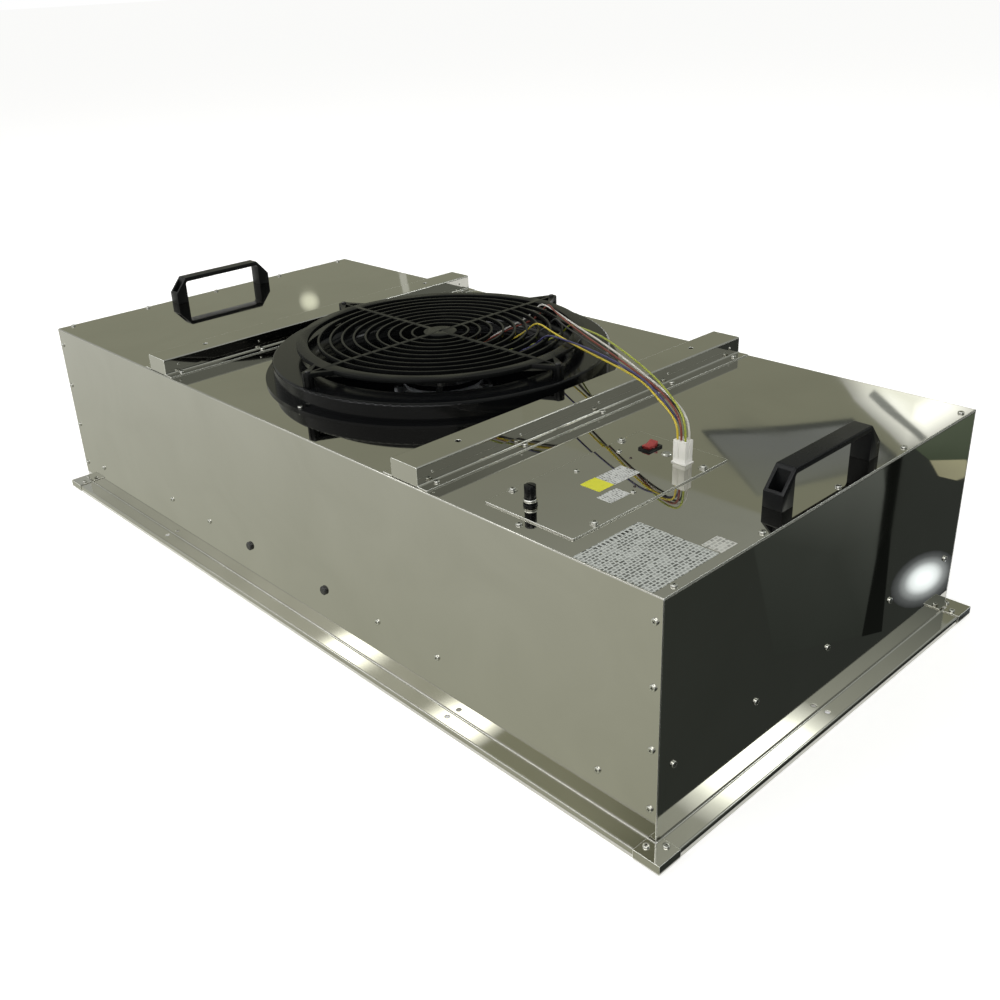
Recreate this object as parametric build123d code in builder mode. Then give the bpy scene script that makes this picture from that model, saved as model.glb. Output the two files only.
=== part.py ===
"""Ceiling fan filter unit for a clean room.

A folded stainless casing carries a plastic inlet ring with its guard on the deck, an
external-rotor motor with a backward-curved impeller under it, a pleated filter in the
base, two stiffening rails, two lifting handles and an electrical cover.
X runs along the long side, Y from front to back, Z up; the origin is at the middle of
the base, on the plane that the lips stand on. All sizes are in millimetres.
"""

import math
import os

from build123d import *

os.makedirs("parts", exist_ok=True)

# ---------------------------------------------------------------- driving dimensions
# Casing
BOX_L = 1135.0  # outside length over the end panels
BOX_W = 535.0  # outside width over the long walls
WALL_H = 250.0  # from the top of the base flange to the deck
SHEET = 1.2  # casing sheet
BEND_R = 1.8  # outside radius of every fold in the casing sheet
FLANGE_W = 20.0  # base flange, from the wall to the lip
LIP_H = 10.0  # from the top of the flange to the edge of its lip
END_RETURN = 32.0  # returns of the end panels, behind the casing sheet
FLANGE_HOLE_R = 2.75
FLANGE_HOLE_OUT = 8.0  # flange holes, out from the wall
FLANGE_HOLE_X = 300.0  # holes of the long flanges, each side of the middle
CORNER_LAP = 8.5  # corner plates, past the corner of the box
CORNER_SCREW_IN = 2.5  # corner plate screws, in from the corner of the box

# Casing screws, and their places
SCREW_R = 1.9
SCREW_HEAD_R = 3.4
SCREW_HEAD_H = 2.0
HEAD_CHAMFER = 0.35  # share of a head's height
SCREW_L = 5.0
EDGE_IN = 7.5  # wall screws, in from the end of the box
DECK_EDGE_IN = 6.5  # deck screws, in from the end of the box
EDGE_FIRST_Z = 34.0  # lowest wall screw, above the flange
EDGE_PITCH_Z = 64.0
EDGE_SCREWS = 4  # up each end of a wall
CROSS_PITCH = 123.0  # screws across the width of the unit
SEAT_SCREW_X = (180.0, 280.0)
SEAT_SCREW_Z = 60.0  # above the flange
END_SEAT_SCREW_Z = 75.0  # above the flange
CLAMP_SCREW_IN = 67.5  # in from the end of the box
CLAMP_SCREW_Z = 42.0  # above the flange
BOLT_X = 80.0
BOLT_R = 3.0
BOLT_HEAD_R = 5.5
BOLT_HEAD_H = 3.2
NUT_R = 5.8
NUT_H = 4.0
BOLT_END = 1.0  # bolts, past their nuts

# Filter and its seat
FILTER_H = 69.0
FILTER_GAP = 11.0  # between the filter and the casing, all round
FRAME_LEG = 15.0  # width of the filter frame's channel
FRAME_T = 1.5
GASKET_H = 6.0
GASKET_W = 11.0
SEAT_T = 1.5
SEAT_LAP = 16.0  # of the seat's ledge over the filter frame
SEAT_LEG = 19.0  # legs of the seat against the walls
CLAMP_T = 1.8
CLAMP_W = 30.0
CLAMP_LAP = 13.0  # of a clamp's tongue under the filter frame
CLAMP_LIFT = 1.2  # clamps, above the plane the lips stand on
CLAMP_RISE = 8.0  # clamps, above their screws
CLAMP_BEND_R = 2.4
NET_T = 1.0
NET_COLUMNS = 12
NET_ROWS = 6
NET_BAR = 3.0
PLEAT_PITCH = 12.0
PLEAT_SKIN = 9.0  # vertical thickness of the folded paper

# Inlet ring
RING_BODY_R = 214.0
RING_FLANGE = 10.5  # screw flange, out from the body
RING_H = 25.0
RING_WALL = 3.0
RING_ROUND = 3.0
THROAT_R = 150.0
MOUTH_FLARE = 27.0  # inner edge of the ring's flat top, out from the throat
MOUTH_STEP = 2.2  # from the flat top down to the bell
BELL_R = 40.0
THROAT_DEPTH = 62.0  # end of the throat, below the ring's top
INLET_HOLE_IN = 20.0  # hole in the deck, in from the ring's body
RING_SCREW_OUT = 5.5  # ring's screws, out from its body
ARM_COUNT = 4
CARRIER_R = 52.0
CARRIER_T = 6.0
CARRIER_DROP = 39.0  # motor plate's top, below the ring's top
STRUT_W = 8.0
STRUT_H = 16.0
STRUT_LAP = 3.0  # of a strut into the carrier and the throat

# Guard
GUARD_RISE = 17.0  # top of the guard, above the ring
GUARD_T = 5.0
HUB_R = 21.0
GUARD_RINGS = 9
LAST_RING_IN = 13.8  # last ring, in from the band
GUARD_WIRE = 2.6
POST_IN = 9.5  # posts, in from the ring's body
POST_R = 7.0
POST_GROOVES = 8
POST_GROOVE = 1.6
BAND_IN = 22.5  # flat band, in from the posts
BAND_W = 14.0
GUARD_ARM_W = 6.0
ARM_LAP = 2.0  # of an arm into the hub and the band
TAB_HALF = 20.0  # half width of a foot's tab at the band
TAB_LAP = 3.0  # of a tab into the band
WINDOW_HALF = 13.0  # half width of the two windows in a tab
WINDOW_RIB = 1.4  # half width of the rib between them
WINDOW_IN = 2.0  # windows, out from the band
WINDOW_TIP = 1.0  # windows, in from the post
HUB_DIMPLE_R = 2.2
HUB_DIMPLE = 1.2
GUARD_SCREW_R = 2.0

# Motor
MOTOR_FLANGE_R = 50.0
MOTOR_FLANGE_T = 6.0
BORE_R = 14.0
TUBE_R = 18.0
CORE_R = 55.0
CORE_H = 38.0
CORE_DROP = 12.0  # core's top, below the rotor's rim
CORE_SLOTS = 12
SLOT_DEPTH = 6.0
SLOT_W = 3.0
SLEEVE_LAP = 1.0  # bearing spacer, into the tube
SLEEVE_T = 2.0
AIR_GAP = 1.0
MAGNET_T = 4.0
ROTOR_WALL = 4.0
ROTOR_FLOOR = 6.0
ROTOR_BOSS = 5.0
ROTOR_ROUND = 3.0
ROTOR_H = 85.0
ROTOR_GAP = 6.0  # from the rotor's rim to the motor flange
SHAFT_R = 6.0
SHAFT_PLAY = 0.03
SHAFT_END_GAP = 0.5
BEARING_H = 8.0
MOTOR_BOLT_AT_R = 38.0
MOTOR_BOLT_R = 3.0
LEAD_BOSS_R = 9.0
LEAD_BOSS_RISE = 4.0  # lead outlet, above the motor plate

# Impeller
WHEEL_R = 200.0
WHEEL_T = 3.0
WHEEL_DISH = 28.0  # hub face, above the back plate
DISH_TOP_R = 68.0
DISH_FOOT_R = 84.0
WHEEL_BORE_R = 28.0
BLADES = 7
BLADE_T = 2.5
BLADE_IN_R = 126.0
BLADE_SWEEP = 42.0
BLADE_OUT_R = 198.0
BLADE_BELLY = 0.42  # share of the sweep reached half way out
BLADE_CUT = 9.0  # inner end of the blades, below the shroud's collar
WHEEL_FOLD_R = 4.0
WHEEL_HEAD_R = 4.5
WHEEL_HEAD_H = 3.0
SHROUD_T = 2.0
SHROUD_GAP = 2.0  # running gap between the throat and the shroud's collar
COLLAR_LAP = 3.0  # of the collar over the throat
COLLAR_H = 12.0
SHROUD_BEND = 30.0
SHROUD_TURN = 70.0
WHEEL_SCREW_AT_R = 46.0
WHEEL_SCREW_R = 2.5

# Deck rails
RAIL_W = 40.0
RAIL_H = 21.0
RAIL_T = 1.2
RAIL_FLANGE = 14.0
RAIL_RIGHT_GAP = 1.5  # between the rail's side and the ring's flange
RAIL_LEFT_GAP = 13.5
RAIL_END_GAP = 2.0  # rail's end, in from the edge of the deck
RAIL_SCREW_OUT = 6.0  # from the rail's side
RAIL_HOLE_Y = 193.0
RAIL_HOLE_R = 3.3
RAIL_RING_GAP = 1.0  # between the rail's flange and the inlet ring's

# Handles
HANDLE_W = 21.0
HANDLE_L = 169.0
HANDLE_H = 38.0
HANDLE_Y = 4.5  # middle of both handles
HANDLE_RIGHT_INSET = 15.0  # outer side, in from the right end
HANDLE_LEFT_INSET = 6.0  # outer side, in from the left end
SHOULDER_Z = 16.0
SHOULDER_Y = 19.0
HANDLE_LEG = 18.0
GRIP_T = 6.0
POCKET_W = 14.0
POCKET_WALL = 2.2
POCKET_FLOOR = 8.0
HANDLE_BOLT_R = 3.0
HANDLE_BOLT_HEAD_R = 5.0
HANDLE_BOLT_HEAD_H = 3.5
HANDLE_ROUND = 4.0
HANDLE_EDGE_R = 1.5

# Electrical cover and what it carries
COVER_X0 = 338.0
COVER_X1 = 450.5
COVER_Y0 = -244.0
COVER_Y1 = -17.0
COVER_T = 1.5
COVER_LAP = 12.0  # of the cover over the edge of the hole in the deck
COVER_SCREW_X = 52.0  # each side of the cover screws' middle
COVER_SCREW_Y = 80.0
COVER_SCREW_MID_X = 392.75
COVER_SCREW_MID_Y = -129.5
COVER_WASHER_R = 5.0
TRAY_DEPTH = 62.0
TRAY_T = 1.2
SWITCH_X = 375.0
SWITCH_Y = -45.0
SWITCH_L = 19.5  # along Y
SWITCH_W = 13.5
ROCKER_PLAY = 0.35
ROCKER_TILT = 11.0
FUSE_X = 375.0
FUSE_Y = -220.0
FUSE_CAP_R = 5.7
FUSE_COLLAR_R = 6.9
FUSE_PLAY = 0.3
FUSE_GRIPS = 12
FUSE_SPIGOT = 4.0
FUSE_SLOT_W = 1.6
PLUG_X = 421.0
PLUG_Y = -52.0
PLUG_W = 15.0  # along X
PLUG_L = 12.0  # along Y
PLUG_H = 19.0
PLUG_PLAY = 0.2
PLUG_GROOVE = 0.6
PLUG_GROOVE_W = 2.0
SOCKET_RISE = 7.0
LAMP_X = 397.0
LAMP_Y = -46.0

SOCKET_DEPTH = 10.0  # below the deck
SOCKET_WALL = 1.5
SOCKET_RIM = 1.2  # of the socket's flange, all round and in thickness
LAMP_R = 5.5
LAMP_BORE_R = 3.4
LAMP_RISE = 1.4
COVER_CORNER_R = 2.0
COVER_HOLE_CORNER_R = 4.0
COVER_WASHER_T = 0.8
COVER_SCREW_L = 8.0
SWITCH_BEZEL = 0.9  # bezel, past the body all round
SWITCH_BEZEL_T = 2.0
SWITCH_DEPTH = 20.0  # below the cover's top
ROCKER_W = 9.5
ROCKER_REACH = 7.2  # from the pivot to the rocker's tip, along Y
ROCKER_TIP_Z = 4.5
ROCKER_MIDDLE_Z = 3.0
ROCKER_PIN_R = 1.2
FUSE_COLLAR_T = 2.0
FUSE_NECK_H = 7.5  # neck's top, above the cover
FUSE_TOP_H = 20.0  # cap's top, above the cover
FUSE_BODY_R = 6.0
FUSE_DEPTH = 30.0
FUSE_NUT_R = 10.0
FUSE_BORE_R = 3.6
FUSE_LINK_R = 2.6
FUSE_LINK_L = 20.0
BOARD_L = 82.0  # along X
BOARD_W = 78.0
BOARD_T = 1.6
BOARD_DROP = 12.0  # board's top, below the deck's top
BOARD_X = 394.0
BOARD_Y = -106.0
BOARD_SEATS = ((356.8, -72.3), (356.8, -136.5), (428.5, -136.5))
BOARD_SCREW_R = 1.5
SPACER_R = 3.5
LED_SEATS = ((376.4, -77.6), (422.0, -108.5), (422.0, -126.5))
LED_R = 1.6
CAPACITOR_R = 17.0
CAPACITOR_H = 48.0
CAPACITOR_EDGE_R = 2.0
CAPACITOR_X = 414.0
CAPACITOR_Y = -196.0
DECK_SCREW_AT = (394.0, -254.0)

# Leads from the motor to the plug
WIRE_R = 1.1
ROUTE_ROUND = 0.45  # share of the shorter run that a bend takes

# ---------------------------------------------------------------- levels and datums
flange_z = LIP_H
deck_z = LIP_H + WALL_H
deck_under = deck_z - SHEET
inner_l = BOX_L - 2 * SHEET
inner_w = BOX_W - 2 * SHEET
ring_top = deck_z + RING_H
guard_top = ring_top + GUARD_RISE
throat_end = ring_top - THROAT_DEPTH
ring_flange_r = RING_BODY_R + RING_FLANGE
ring_screw_r = RING_BODY_R + RING_SCREW_OUT
inlet_hole_r = RING_BODY_R - INLET_HOLE_IN
mouth_r = THROAT_R + MOUTH_FLARE
post_at_r = RING_BODY_R - POST_IN
band_out_r = post_at_r - BAND_IN
band_in_r = band_out_r - BAND_W
rail_right_x = ring_flange_r + RAIL_RIGHT_GAP + RAIL_W / 2
rail_left_x = -(ring_flange_r + RAIL_LEFT_GAP + RAIL_W / 2)
carrier_top = ring_top - CARRIER_DROP
carrier_under = carrier_top - CARRIER_T
filter_z = CLAMP_LIFT + CLAMP_T
filter_top = filter_z + FILTER_H
seat_under = filter_top + GASKET_H
seat_top = seat_under + SEAT_T
filter_l = inner_l - 2 * FILTER_GAP
filter_w = inner_w - 2 * FILTER_GAP
cross_rows = (-2 * CROSS_PITCH, -CROSS_PITCH, 0.0, CROSS_PITCH, 2 * CROSS_PITCH)
arm_turns = [turn * 360.0 / ARM_COUNT for turn in range(ARM_COUNT)]
between_arms = 180.0 / ARM_COUNT


# ---------------------------------------------------------------- shared shapes
def folded(points, thickness, radius, side=Side.RIGHT):
    """Cross-section of a sheet folded along these outside corners."""
    with BuildSketch() as section:
        with BuildLine():
            FilletPolyline(*points, radius=radius)
            offset(amount=thickness, side=side)
        make_face()
    return section.sketch


def screw(shank_r, length, head_r, head_h):
    """Pan-head screw, its head standing on the XY plane and its shank below it."""
    with BuildPart() as made:
        Cylinder(head_r, head_h, align=(Align.CENTER, Align.CENTER, Align.MIN))
        chamfer(made.edges().group_by(Axis.Z)[-1], HEAD_CHAMFER * head_h)
        Cylinder(shank_r, length, align=(Align.CENTER, Align.CENTER, Align.MAX))
    return made.part


def on_long_wall(x, side, height, out=0.0):
    """Seat on a long wall, its Z axis pointing out of the wall."""
    place = (x, side * (BOX_W / 2 + out), flange_z + height)
    return Plane(place, x_dir=(1, 0, 0), z_dir=(0, side, 0)).location


def on_end_panel(y, side, height):
    """Seat on an end panel, its Z axis pointing out of the panel."""
    place = (side * BOX_L / 2, y, flange_z + height)
    return Plane(place, x_dir=(0, 1, 0), z_dir=(side, 0, 0)).location


edge_rows = [EDGE_FIRST_Z + row * EDGE_PITCH_Z for row in range(EDGE_SCREWS)]
corner_seats = [
    on_long_wall(end * (BOX_L / 2 - EDGE_IN), side, height)
    for end in (-1, 1)
    for side in (-1, 1)
    for height in edge_rows
]
deck_edge_seats = [
    Location((end * (BOX_L / 2 - DECK_EDGE_IN), y, deck_z))
    for end in (-1, 1)
    for y in cross_rows
]
seat_screw_seats = [
    on_long_wall(end * x, side, SEAT_SCREW_Z)
    for end in (-1, 1)
    for side in (-1, 1)
    for x in SEAT_SCREW_X
]
end_seat_seats = [
    on_end_panel(y, end, END_SEAT_SCREW_Z) for end in (-1, 1) for y in cross_rows
]
clamp_x = BOX_L / 2 - CLAMP_SCREW_IN
clamp_seats = [
    on_long_wall(end * clamp_x, side, CLAMP_SCREW_Z)
    for end in (-1, 1)
    for side in (-1, 1)
]
bolt_seats = [
    on_long_wall(end * BOLT_X, side, SEAT_SCREW_Z) for end in (-1, 1) for side in (-1, 1)
]
rail_columns = [
    rail_x + side * (RAIL_W / 2 + RAIL_SCREW_OUT)
    for rail_x in (rail_left_x, rail_right_x)
    for side in (-1, 1)
]
ring_clear_r = ring_flange_r + 2 * SCREW_HEAD_R
rail_seats = [
    Location((x, y, deck_z))
    for x in rail_columns
    for y in cross_rows
    if math.hypot(x, y) > ring_clear_r
]
ring_screw_seats = [
    Location(
        (
            ring_screw_r * math.cos(math.radians(turn)),
            ring_screw_r * math.sin(math.radians(turn)),
            deck_z,
        )
    )
    for turn in arm_turns
]
cover_mid_x = (COVER_X0 + COVER_X1) / 2
cover_mid_y = (COVER_Y0 + COVER_Y1) / 2
cover_l = COVER_X1 - COVER_X0
cover_w = COVER_Y1 - COVER_Y0
hole_l = cover_l - 2 * COVER_LAP
hole_w = cover_w - 2 * COVER_LAP
deck_screw_seat = Location((*DECK_SCREW_AT, deck_z))
cover_seats = [
    Location(
        (COVER_SCREW_MID_X + end * COVER_SCREW_X, COVER_SCREW_MID_Y + side * COVER_SCREW_Y, deck_z)
    )
    for end in (-1, 1)
    for side in (-1, 1)
]
handle_right_x = BOX_L / 2 - HANDLE_RIGHT_INSET - HANDLE_W / 2
handle_left_x = -BOX_L / 2 + HANDLE_LEFT_INSET + HANDLE_W / 2
pocket_l = HANDLE_LEG - 2 * POCKET_WALL
handle_bolt_y = HANDLE_L / 2 - HANDLE_LEG / 2
handle_bolt_places = {
    side: [(x, HANDLE_Y + end * handle_bolt_y) for end in (-1, 1)]
    for side, x in ((1, handle_right_x), (-1, handle_left_x))
}
handle_seats = [
    Location((*place, deck_z)) for places in handle_bolt_places.values() for place in places
]


# ---------------------------------------------------------------- casing
# One sheet folded into the deck, both long walls, their base flanges and lips.
flange_out = BOX_W / 2 + FLANGE_W
half_casing = [(0, deck_z), (BOX_W / 2, deck_z), (BOX_W / 2, flange_z)]
half_casing += [(flange_out, flange_z), (flange_out, 0)]
casing_points = [(-y, z) for y, z in reversed(half_casing[1:])] + half_casing[1:]
flange_hole_seats = [
    Location((end * FLANGE_HOLE_X, side * (BOX_W / 2 + FLANGE_HOLE_OUT), flange_z))
    for end in (-1, 1)
    for side in (-1, 1)
]
corner_mid = FLANGE_W / 2
corner_screw_seats = [
    Location((end * (BOX_L / 2 + dx), side * (BOX_W / 2 + dy), flange_z + SHEET))
    for end in (-1, 1)
    for side in (-1, 1)
    for dx, dy in ((-CORNER_SCREW_IN, corner_mid), (corner_mid, -CORNER_SCREW_IN))
]

with BuildPart() as casing_shell:
    with BuildSketch(Plane.YZ.offset(-BOX_L / 2)):
        add(folded(casing_points, SHEET, BEND_R))
    extrude(amount=BOX_L)
    with Locations(*corner_seats, *deck_edge_seats, *seat_screw_seats, *clamp_seats, *rail_seats):
        Hole(SCREW_R, depth=2 * SHEET)
    with Locations(*bolt_seats):
        Hole(BOLT_R, depth=2 * SHEET)
    with Locations(*flange_hole_seats):
        Hole(FLANGE_HOLE_R, depth=2 * SHEET)
    with Locations(*corner_screw_seats):
        Hole(SCREW_R, depth=3 * SHEET)
    with Locations(*ring_screw_seats, *cover_seats, deck_screw_seat):
        Hole(SCREW_R, depth=2 * SHEET)
    with Locations(*handle_seats):
        Hole(HANDLE_BOLT_R, depth=2 * SHEET)
    with Locations((0, 0, deck_z)):
        Hole(inlet_hole_r, depth=2 * SHEET)
    with BuildSketch(Plane.XY.offset(deck_z)):
        with Locations((cover_mid_x, cover_mid_y)):
            RectangleRounded(hole_l, hole_w, COVER_HOLE_CORNER_R)
    extrude(amount=-2 * SHEET, mode=Mode.SUBTRACT)
casing_shell.part.label = "casing_shell"
export_step(casing_shell.part, "parts/casing_shell.step")

# Each end panel is a folded pan: its returns go up inside the casing sheet.
end_points = [(FLANGE_W, 0), (FLANGE_W, flange_z), (0, flange_z), (0, deck_under)]
end_points += [(-END_RETURN, deck_under)]
return_h = deck_under - flange_z - BEND_R
bend_in_r = BEND_R - SHEET  # relief for the bends inside the casing sheet
return_z = flange_z + BEND_R + return_h / 2


def end_panel(side):
    """End panel with its base flange, lip, top return and two side returns."""
    with BuildPart() as panel:
        with BuildSketch(Plane.XZ.offset(-inner_w / 2)):
            with Locations((BOX_L / 2, 0)):
                add(folded(end_points, SHEET, BEND_R, Side.LEFT))
        extrude(amount=inner_w)
        for y_side in (-1, 1):
            with Locations((BOX_L / 2 - END_RETURN / 2, y_side * (inner_w - SHEET) / 2, return_z)):
                Box(END_RETURN, SHEET, return_h)
        with Locations(*[on_end_panel(y, 1, END_SEAT_SCREW_Z) for y in cross_rows]):
            Hole(SCREW_R, depth=2 * SHEET)
        with Locations(*corner_seats, *deck_edge_seats):
            Hole(SCREW_R, depth=4 * SHEET)
        with Locations(*[(abs(x), y, deck_z) for x, y in handle_bolt_places[side]]):
            Hole(HANDLE_BOLT_R, depth=4 * SHEET)
        with Locations((BOX_L / 2 + FLANGE_HOLE_OUT, 0, flange_z)):
            Hole(FLANGE_HOLE_R, depth=2 * SHEET)
        with Locations(*corner_screw_seats):
            Hole(SCREW_R, depth=3 * SHEET)
        with Locations(*[(BOX_L / 2, y_side * inner_w / 2, deck_under) for y_side in (-1, 1)]):
            Box(2 * END_RETURN, 2 * bend_in_r, 2 * bend_in_r, mode=Mode.SUBTRACT)
        if side < 0:
            mirror(about=Plane.YZ, mode=Mode.REPLACE)
    return panel.part


right_panel = end_panel(1)
left_panel = end_panel(-1)

with BuildPart() as end_panel_right:
    add(right_panel)
end_panel_right.part.label = "end_panel_right"
export_step(end_panel_right.part, "parts/end_panel_right.step")

with BuildPart() as end_panel_left:
    add(left_panel)
end_panel_left.part.label = "end_panel_left"
export_step(end_panel_left.part, "parts/end_panel_left.step")

# Corner plates close the open corners of the base flange and hold the lips together.
plate_side = FLANGE_W + CORNER_LAP + SHEET
corner_notch = 2 * (CORNER_LAP + BEND_R)


def corner_plate(x_side, y_side):
    """L-shaped plate with a lip of its own, over one corner of the base flange."""
    tip_x = BOX_L / 2 + FLANGE_W + SHEET
    tip_y = BOX_W / 2 + FLANGE_W + SHEET
    middle = (tip_x - plate_side / 2, tip_y - plate_side / 2)
    with BuildPart() as plate:
        with BuildSketch(Plane.XY.offset(SHEET)):
            with Locations(middle):
                Rectangle(plate_side, plate_side)
        extrude(amount=flange_z)
        with BuildSketch(Plane.XY.offset(SHEET)):
            with Locations((middle[0] - SHEET, middle[1] - SHEET)):
                Rectangle(plate_side, plate_side)
        extrude(amount=flange_z - SHEET, mode=Mode.SUBTRACT)
        with Locations((tip_x - plate_side, tip_y - plate_side, flange_z + SHEET / 2)):
            Box(corner_notch, corner_notch, 2 * SHEET, mode=Mode.SUBTRACT)
        with Locations(*corner_screw_seats):
            Hole(SCREW_R, depth=SHEET)
        if x_side < 0:
            mirror(about=Plane.YZ, mode=Mode.REPLACE)
        if y_side < 0:
            mirror(about=Plane.XZ, mode=Mode.REPLACE)
    return plate.part


front_left_plate = corner_plate(-1, -1)
front_right_plate = corner_plate(1, -1)
back_left_plate = corner_plate(-1, 1)
back_right_plate = corner_plate(1, 1)

with BuildPart() as corner_plate_front_left:
    add(front_left_plate)
corner_plate_front_left.part.label = "corner_plate_front_left"
export_step(corner_plate_front_left.part, "parts/corner_plate_front_left.step")

with BuildPart() as corner_plate_front_right:
    add(front_right_plate)
corner_plate_front_right.part.label = "corner_plate_front_right"
export_step(corner_plate_front_right.part, "parts/corner_plate_front_right.step")

with BuildPart() as corner_plate_back_left:
    add(back_left_plate)
corner_plate_back_left.part.label = "corner_plate_back_left"
export_step(corner_plate_back_left.part, "parts/corner_plate_back_left.step")

with BuildPart() as corner_plate_back_right:
    add(back_right_plate)
corner_plate_back_right.part.label = "corner_plate_back_right"
export_step(corner_plate_back_right.part, "parts/corner_plate_back_right.step")

pan_screw = screw(SCREW_R, SCREW_L, SCREW_HEAD_R, SCREW_HEAD_H)

with BuildPart() as casing_screws:
    with Locations(*corner_seats, *deck_edge_seats, *seat_screw_seats, *end_seat_seats):
        add(pan_screw)
    with Locations(*clamp_seats, deck_screw_seat):
        add(pan_screw)
casing_screws.part.label = "casing_screws"
export_step(casing_screws.part, "parts/casing_screws.step")

with BuildPart() as corner_plate_screws:
    with Locations(*corner_screw_seats):
        add(pan_screw)
corner_plate_screws.part.label = "corner_plate_screws"
export_step(corner_plate_screws.part, "parts/corner_plate_screws.step")

# ---------------------------------------------------------------- filter and its seat
# A flat ledge all round, with legs down the long walls and up the end panels.
ledge_l = filter_l - 2 * SEAT_LAP
ledge_w = filter_w - 2 * SEAT_LAP

with BuildPart() as filter_seat:
    with BuildSketch(Plane.XY.offset(seat_under)):
        Rectangle(inner_l, inner_w - 2 * SHEET)
        Rectangle(inner_l - 2 * END_RETURN, inner_w)
        Rectangle(ledge_l, ledge_w, mode=Mode.SUBTRACT)
    extrude(amount=SEAT_T)
    for leg_side in (-1, 1):
        with Locations((0, leg_side * (inner_w - SEAT_T) / 2, seat_top - SEAT_LEG / 2)):
            Box(inner_l - 2 * END_RETURN, SEAT_T, SEAT_LEG)
        with Locations((leg_side * (inner_l - SEAT_T) / 2, 0, seat_under + SEAT_LEG / 2)):
            Box(SEAT_T, inner_w - 2 * SHEET, SEAT_LEG)
    with Locations(*seat_screw_seats, *end_seat_seats):
        Hole(SCREW_R, depth=SHEET + 2 * SEAT_T)
    with Locations(*bolt_seats):
        Hole(BOLT_R, depth=SHEET + 2 * SEAT_T)
filter_seat.part.label = "filter_seat"
export_step(filter_seat.part, "parts/filter_seat.step")

# Black bolts with nuts carry the middle of the seat, where the filter weighs most.
bolt_grip = SHEET + SEAT_T
wall_bolt = screw(BOLT_R, bolt_grip + NUT_H + BOLT_END, BOLT_HEAD_R, BOLT_HEAD_H)

with BuildPart() as wall_bolts:
    with Locations(*bolt_seats):
        add(wall_bolt)
wall_bolts.part.label = "wall_bolts"
export_step(wall_bolts.part, "parts/wall_bolts.step")


def nut(across_r, height, bore_r):
    """Hexagon nut standing on the XY plane."""
    with BuildPart() as made:
        with BuildSketch():
            RegularPolygon(across_r, 6)
            Circle(bore_r, mode=Mode.SUBTRACT)
        extrude(amount=height)
    return made.part


wall_nut = nut(NUT_R, NUT_H, BOLT_R)

with BuildPart() as wall_nuts:
    with Locations(*[seat * Location((0, 0, -bolt_grip - NUT_H)) for seat in bolt_seats]):
        add(wall_nut)
wall_nuts.part.label = "wall_nuts"
export_step(wall_nuts.part, "parts/wall_nuts.step")

# Channel frame, open inwards, that the pleated pack is potted into.
with BuildPart() as filter_frame:
    with BuildSketch(Plane.XY.offset(filter_z)):
        Rectangle(filter_l, filter_w)
        Rectangle(filter_l - 2 * FRAME_LEG, filter_w - 2 * FRAME_LEG, mode=Mode.SUBTRACT)
    extrude(amount=FILTER_H)
    with BuildSketch(Plane.XY.offset(filter_z + FRAME_T)):
        Rectangle(filter_l - 2 * FRAME_T, filter_w - 2 * FRAME_T)
    extrude(amount=FILTER_H - 2 * FRAME_T, mode=Mode.SUBTRACT)
filter_frame.part.label = "filter_frame"
export_step(filter_frame.part, "parts/filter_frame.step")

net_z = filter_z + FRAME_T
net_l = filter_l - 2 * FRAME_T
net_w = filter_w - 2 * FRAME_T
net_open_l = filter_l - 2 * FRAME_LEG
net_open_w = filter_w - 2 * FRAME_LEG
cell_l = (net_open_l - (NET_COLUMNS - 1) * NET_BAR) / NET_COLUMNS
cell_w = (net_open_w - (NET_ROWS - 1) * NET_BAR) / NET_ROWS

with BuildPart() as filter_net:
    with BuildSketch(Plane.XY.offset(net_z)):
        Rectangle(net_l, net_w)
        with GridLocations(cell_l + NET_BAR, cell_w + NET_BAR, NET_COLUMNS, NET_ROWS):
            Rectangle(cell_l, cell_w, mode=Mode.SUBTRACT)
    extrude(amount=NET_T)
filter_net.part.label = "filter_net"
export_step(filter_net.part, "parts/filter_net.step")

# Glass paper folded into upright pleats, running from front to back.
pack_z = net_z + NET_T
pack_h = filter_top - FRAME_T - pack_z
pleats = int(net_l // PLEAT_PITCH)
pleat_step = net_l / pleats
fold_tops = []
for pleat in range(pleats):
    fold_x = -net_l / 2 + pleat * pleat_step
    fold_tops += [(fold_x, pack_z + PLEAT_SKIN), (fold_x + pleat_step / 2, pack_z + pack_h)]
fold_tops.append((net_l / 2, pack_z + PLEAT_SKIN))
fold_feet = [(x, z - PLEAT_SKIN) for x, z in reversed(fold_tops)]

with BuildPart() as filter_media:
    with BuildSketch(Plane.XZ.offset(-net_w / 2)):
        Polygon(*fold_tops, *fold_feet, align=None)
    extrude(amount=net_w)
filter_media.part.label = "filter_media"
export_step(filter_media.part, "parts/filter_media.step")

with BuildPart() as filter_gasket:
    with BuildSketch(Plane.XY.offset(filter_top)):
        Rectangle(filter_l - 2 * FRAME_T, filter_w - 2 * FRAME_T)
        Rectangle(net_l - 2 * GASKET_W, net_w - 2 * GASKET_W, mode=Mode.SUBTRACT)
    extrude(amount=GASKET_H)
filter_gasket.part.label = "filter_gasket"
export_step(filter_gasket.part, "parts/filter_gasket.step")

# Four angle clamps, screwed through the long walls, hold the filter up from below.
clamp_leg = CLAMP_SCREW_Z + flange_z - CLAMP_LIFT + CLAMP_RISE
clamp_points = [(0, CLAMP_LIFT + clamp_leg), (0, CLAMP_LIFT)]
clamp_points += [(-FILTER_GAP - CLAMP_LAP, CLAMP_LIFT)]

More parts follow.
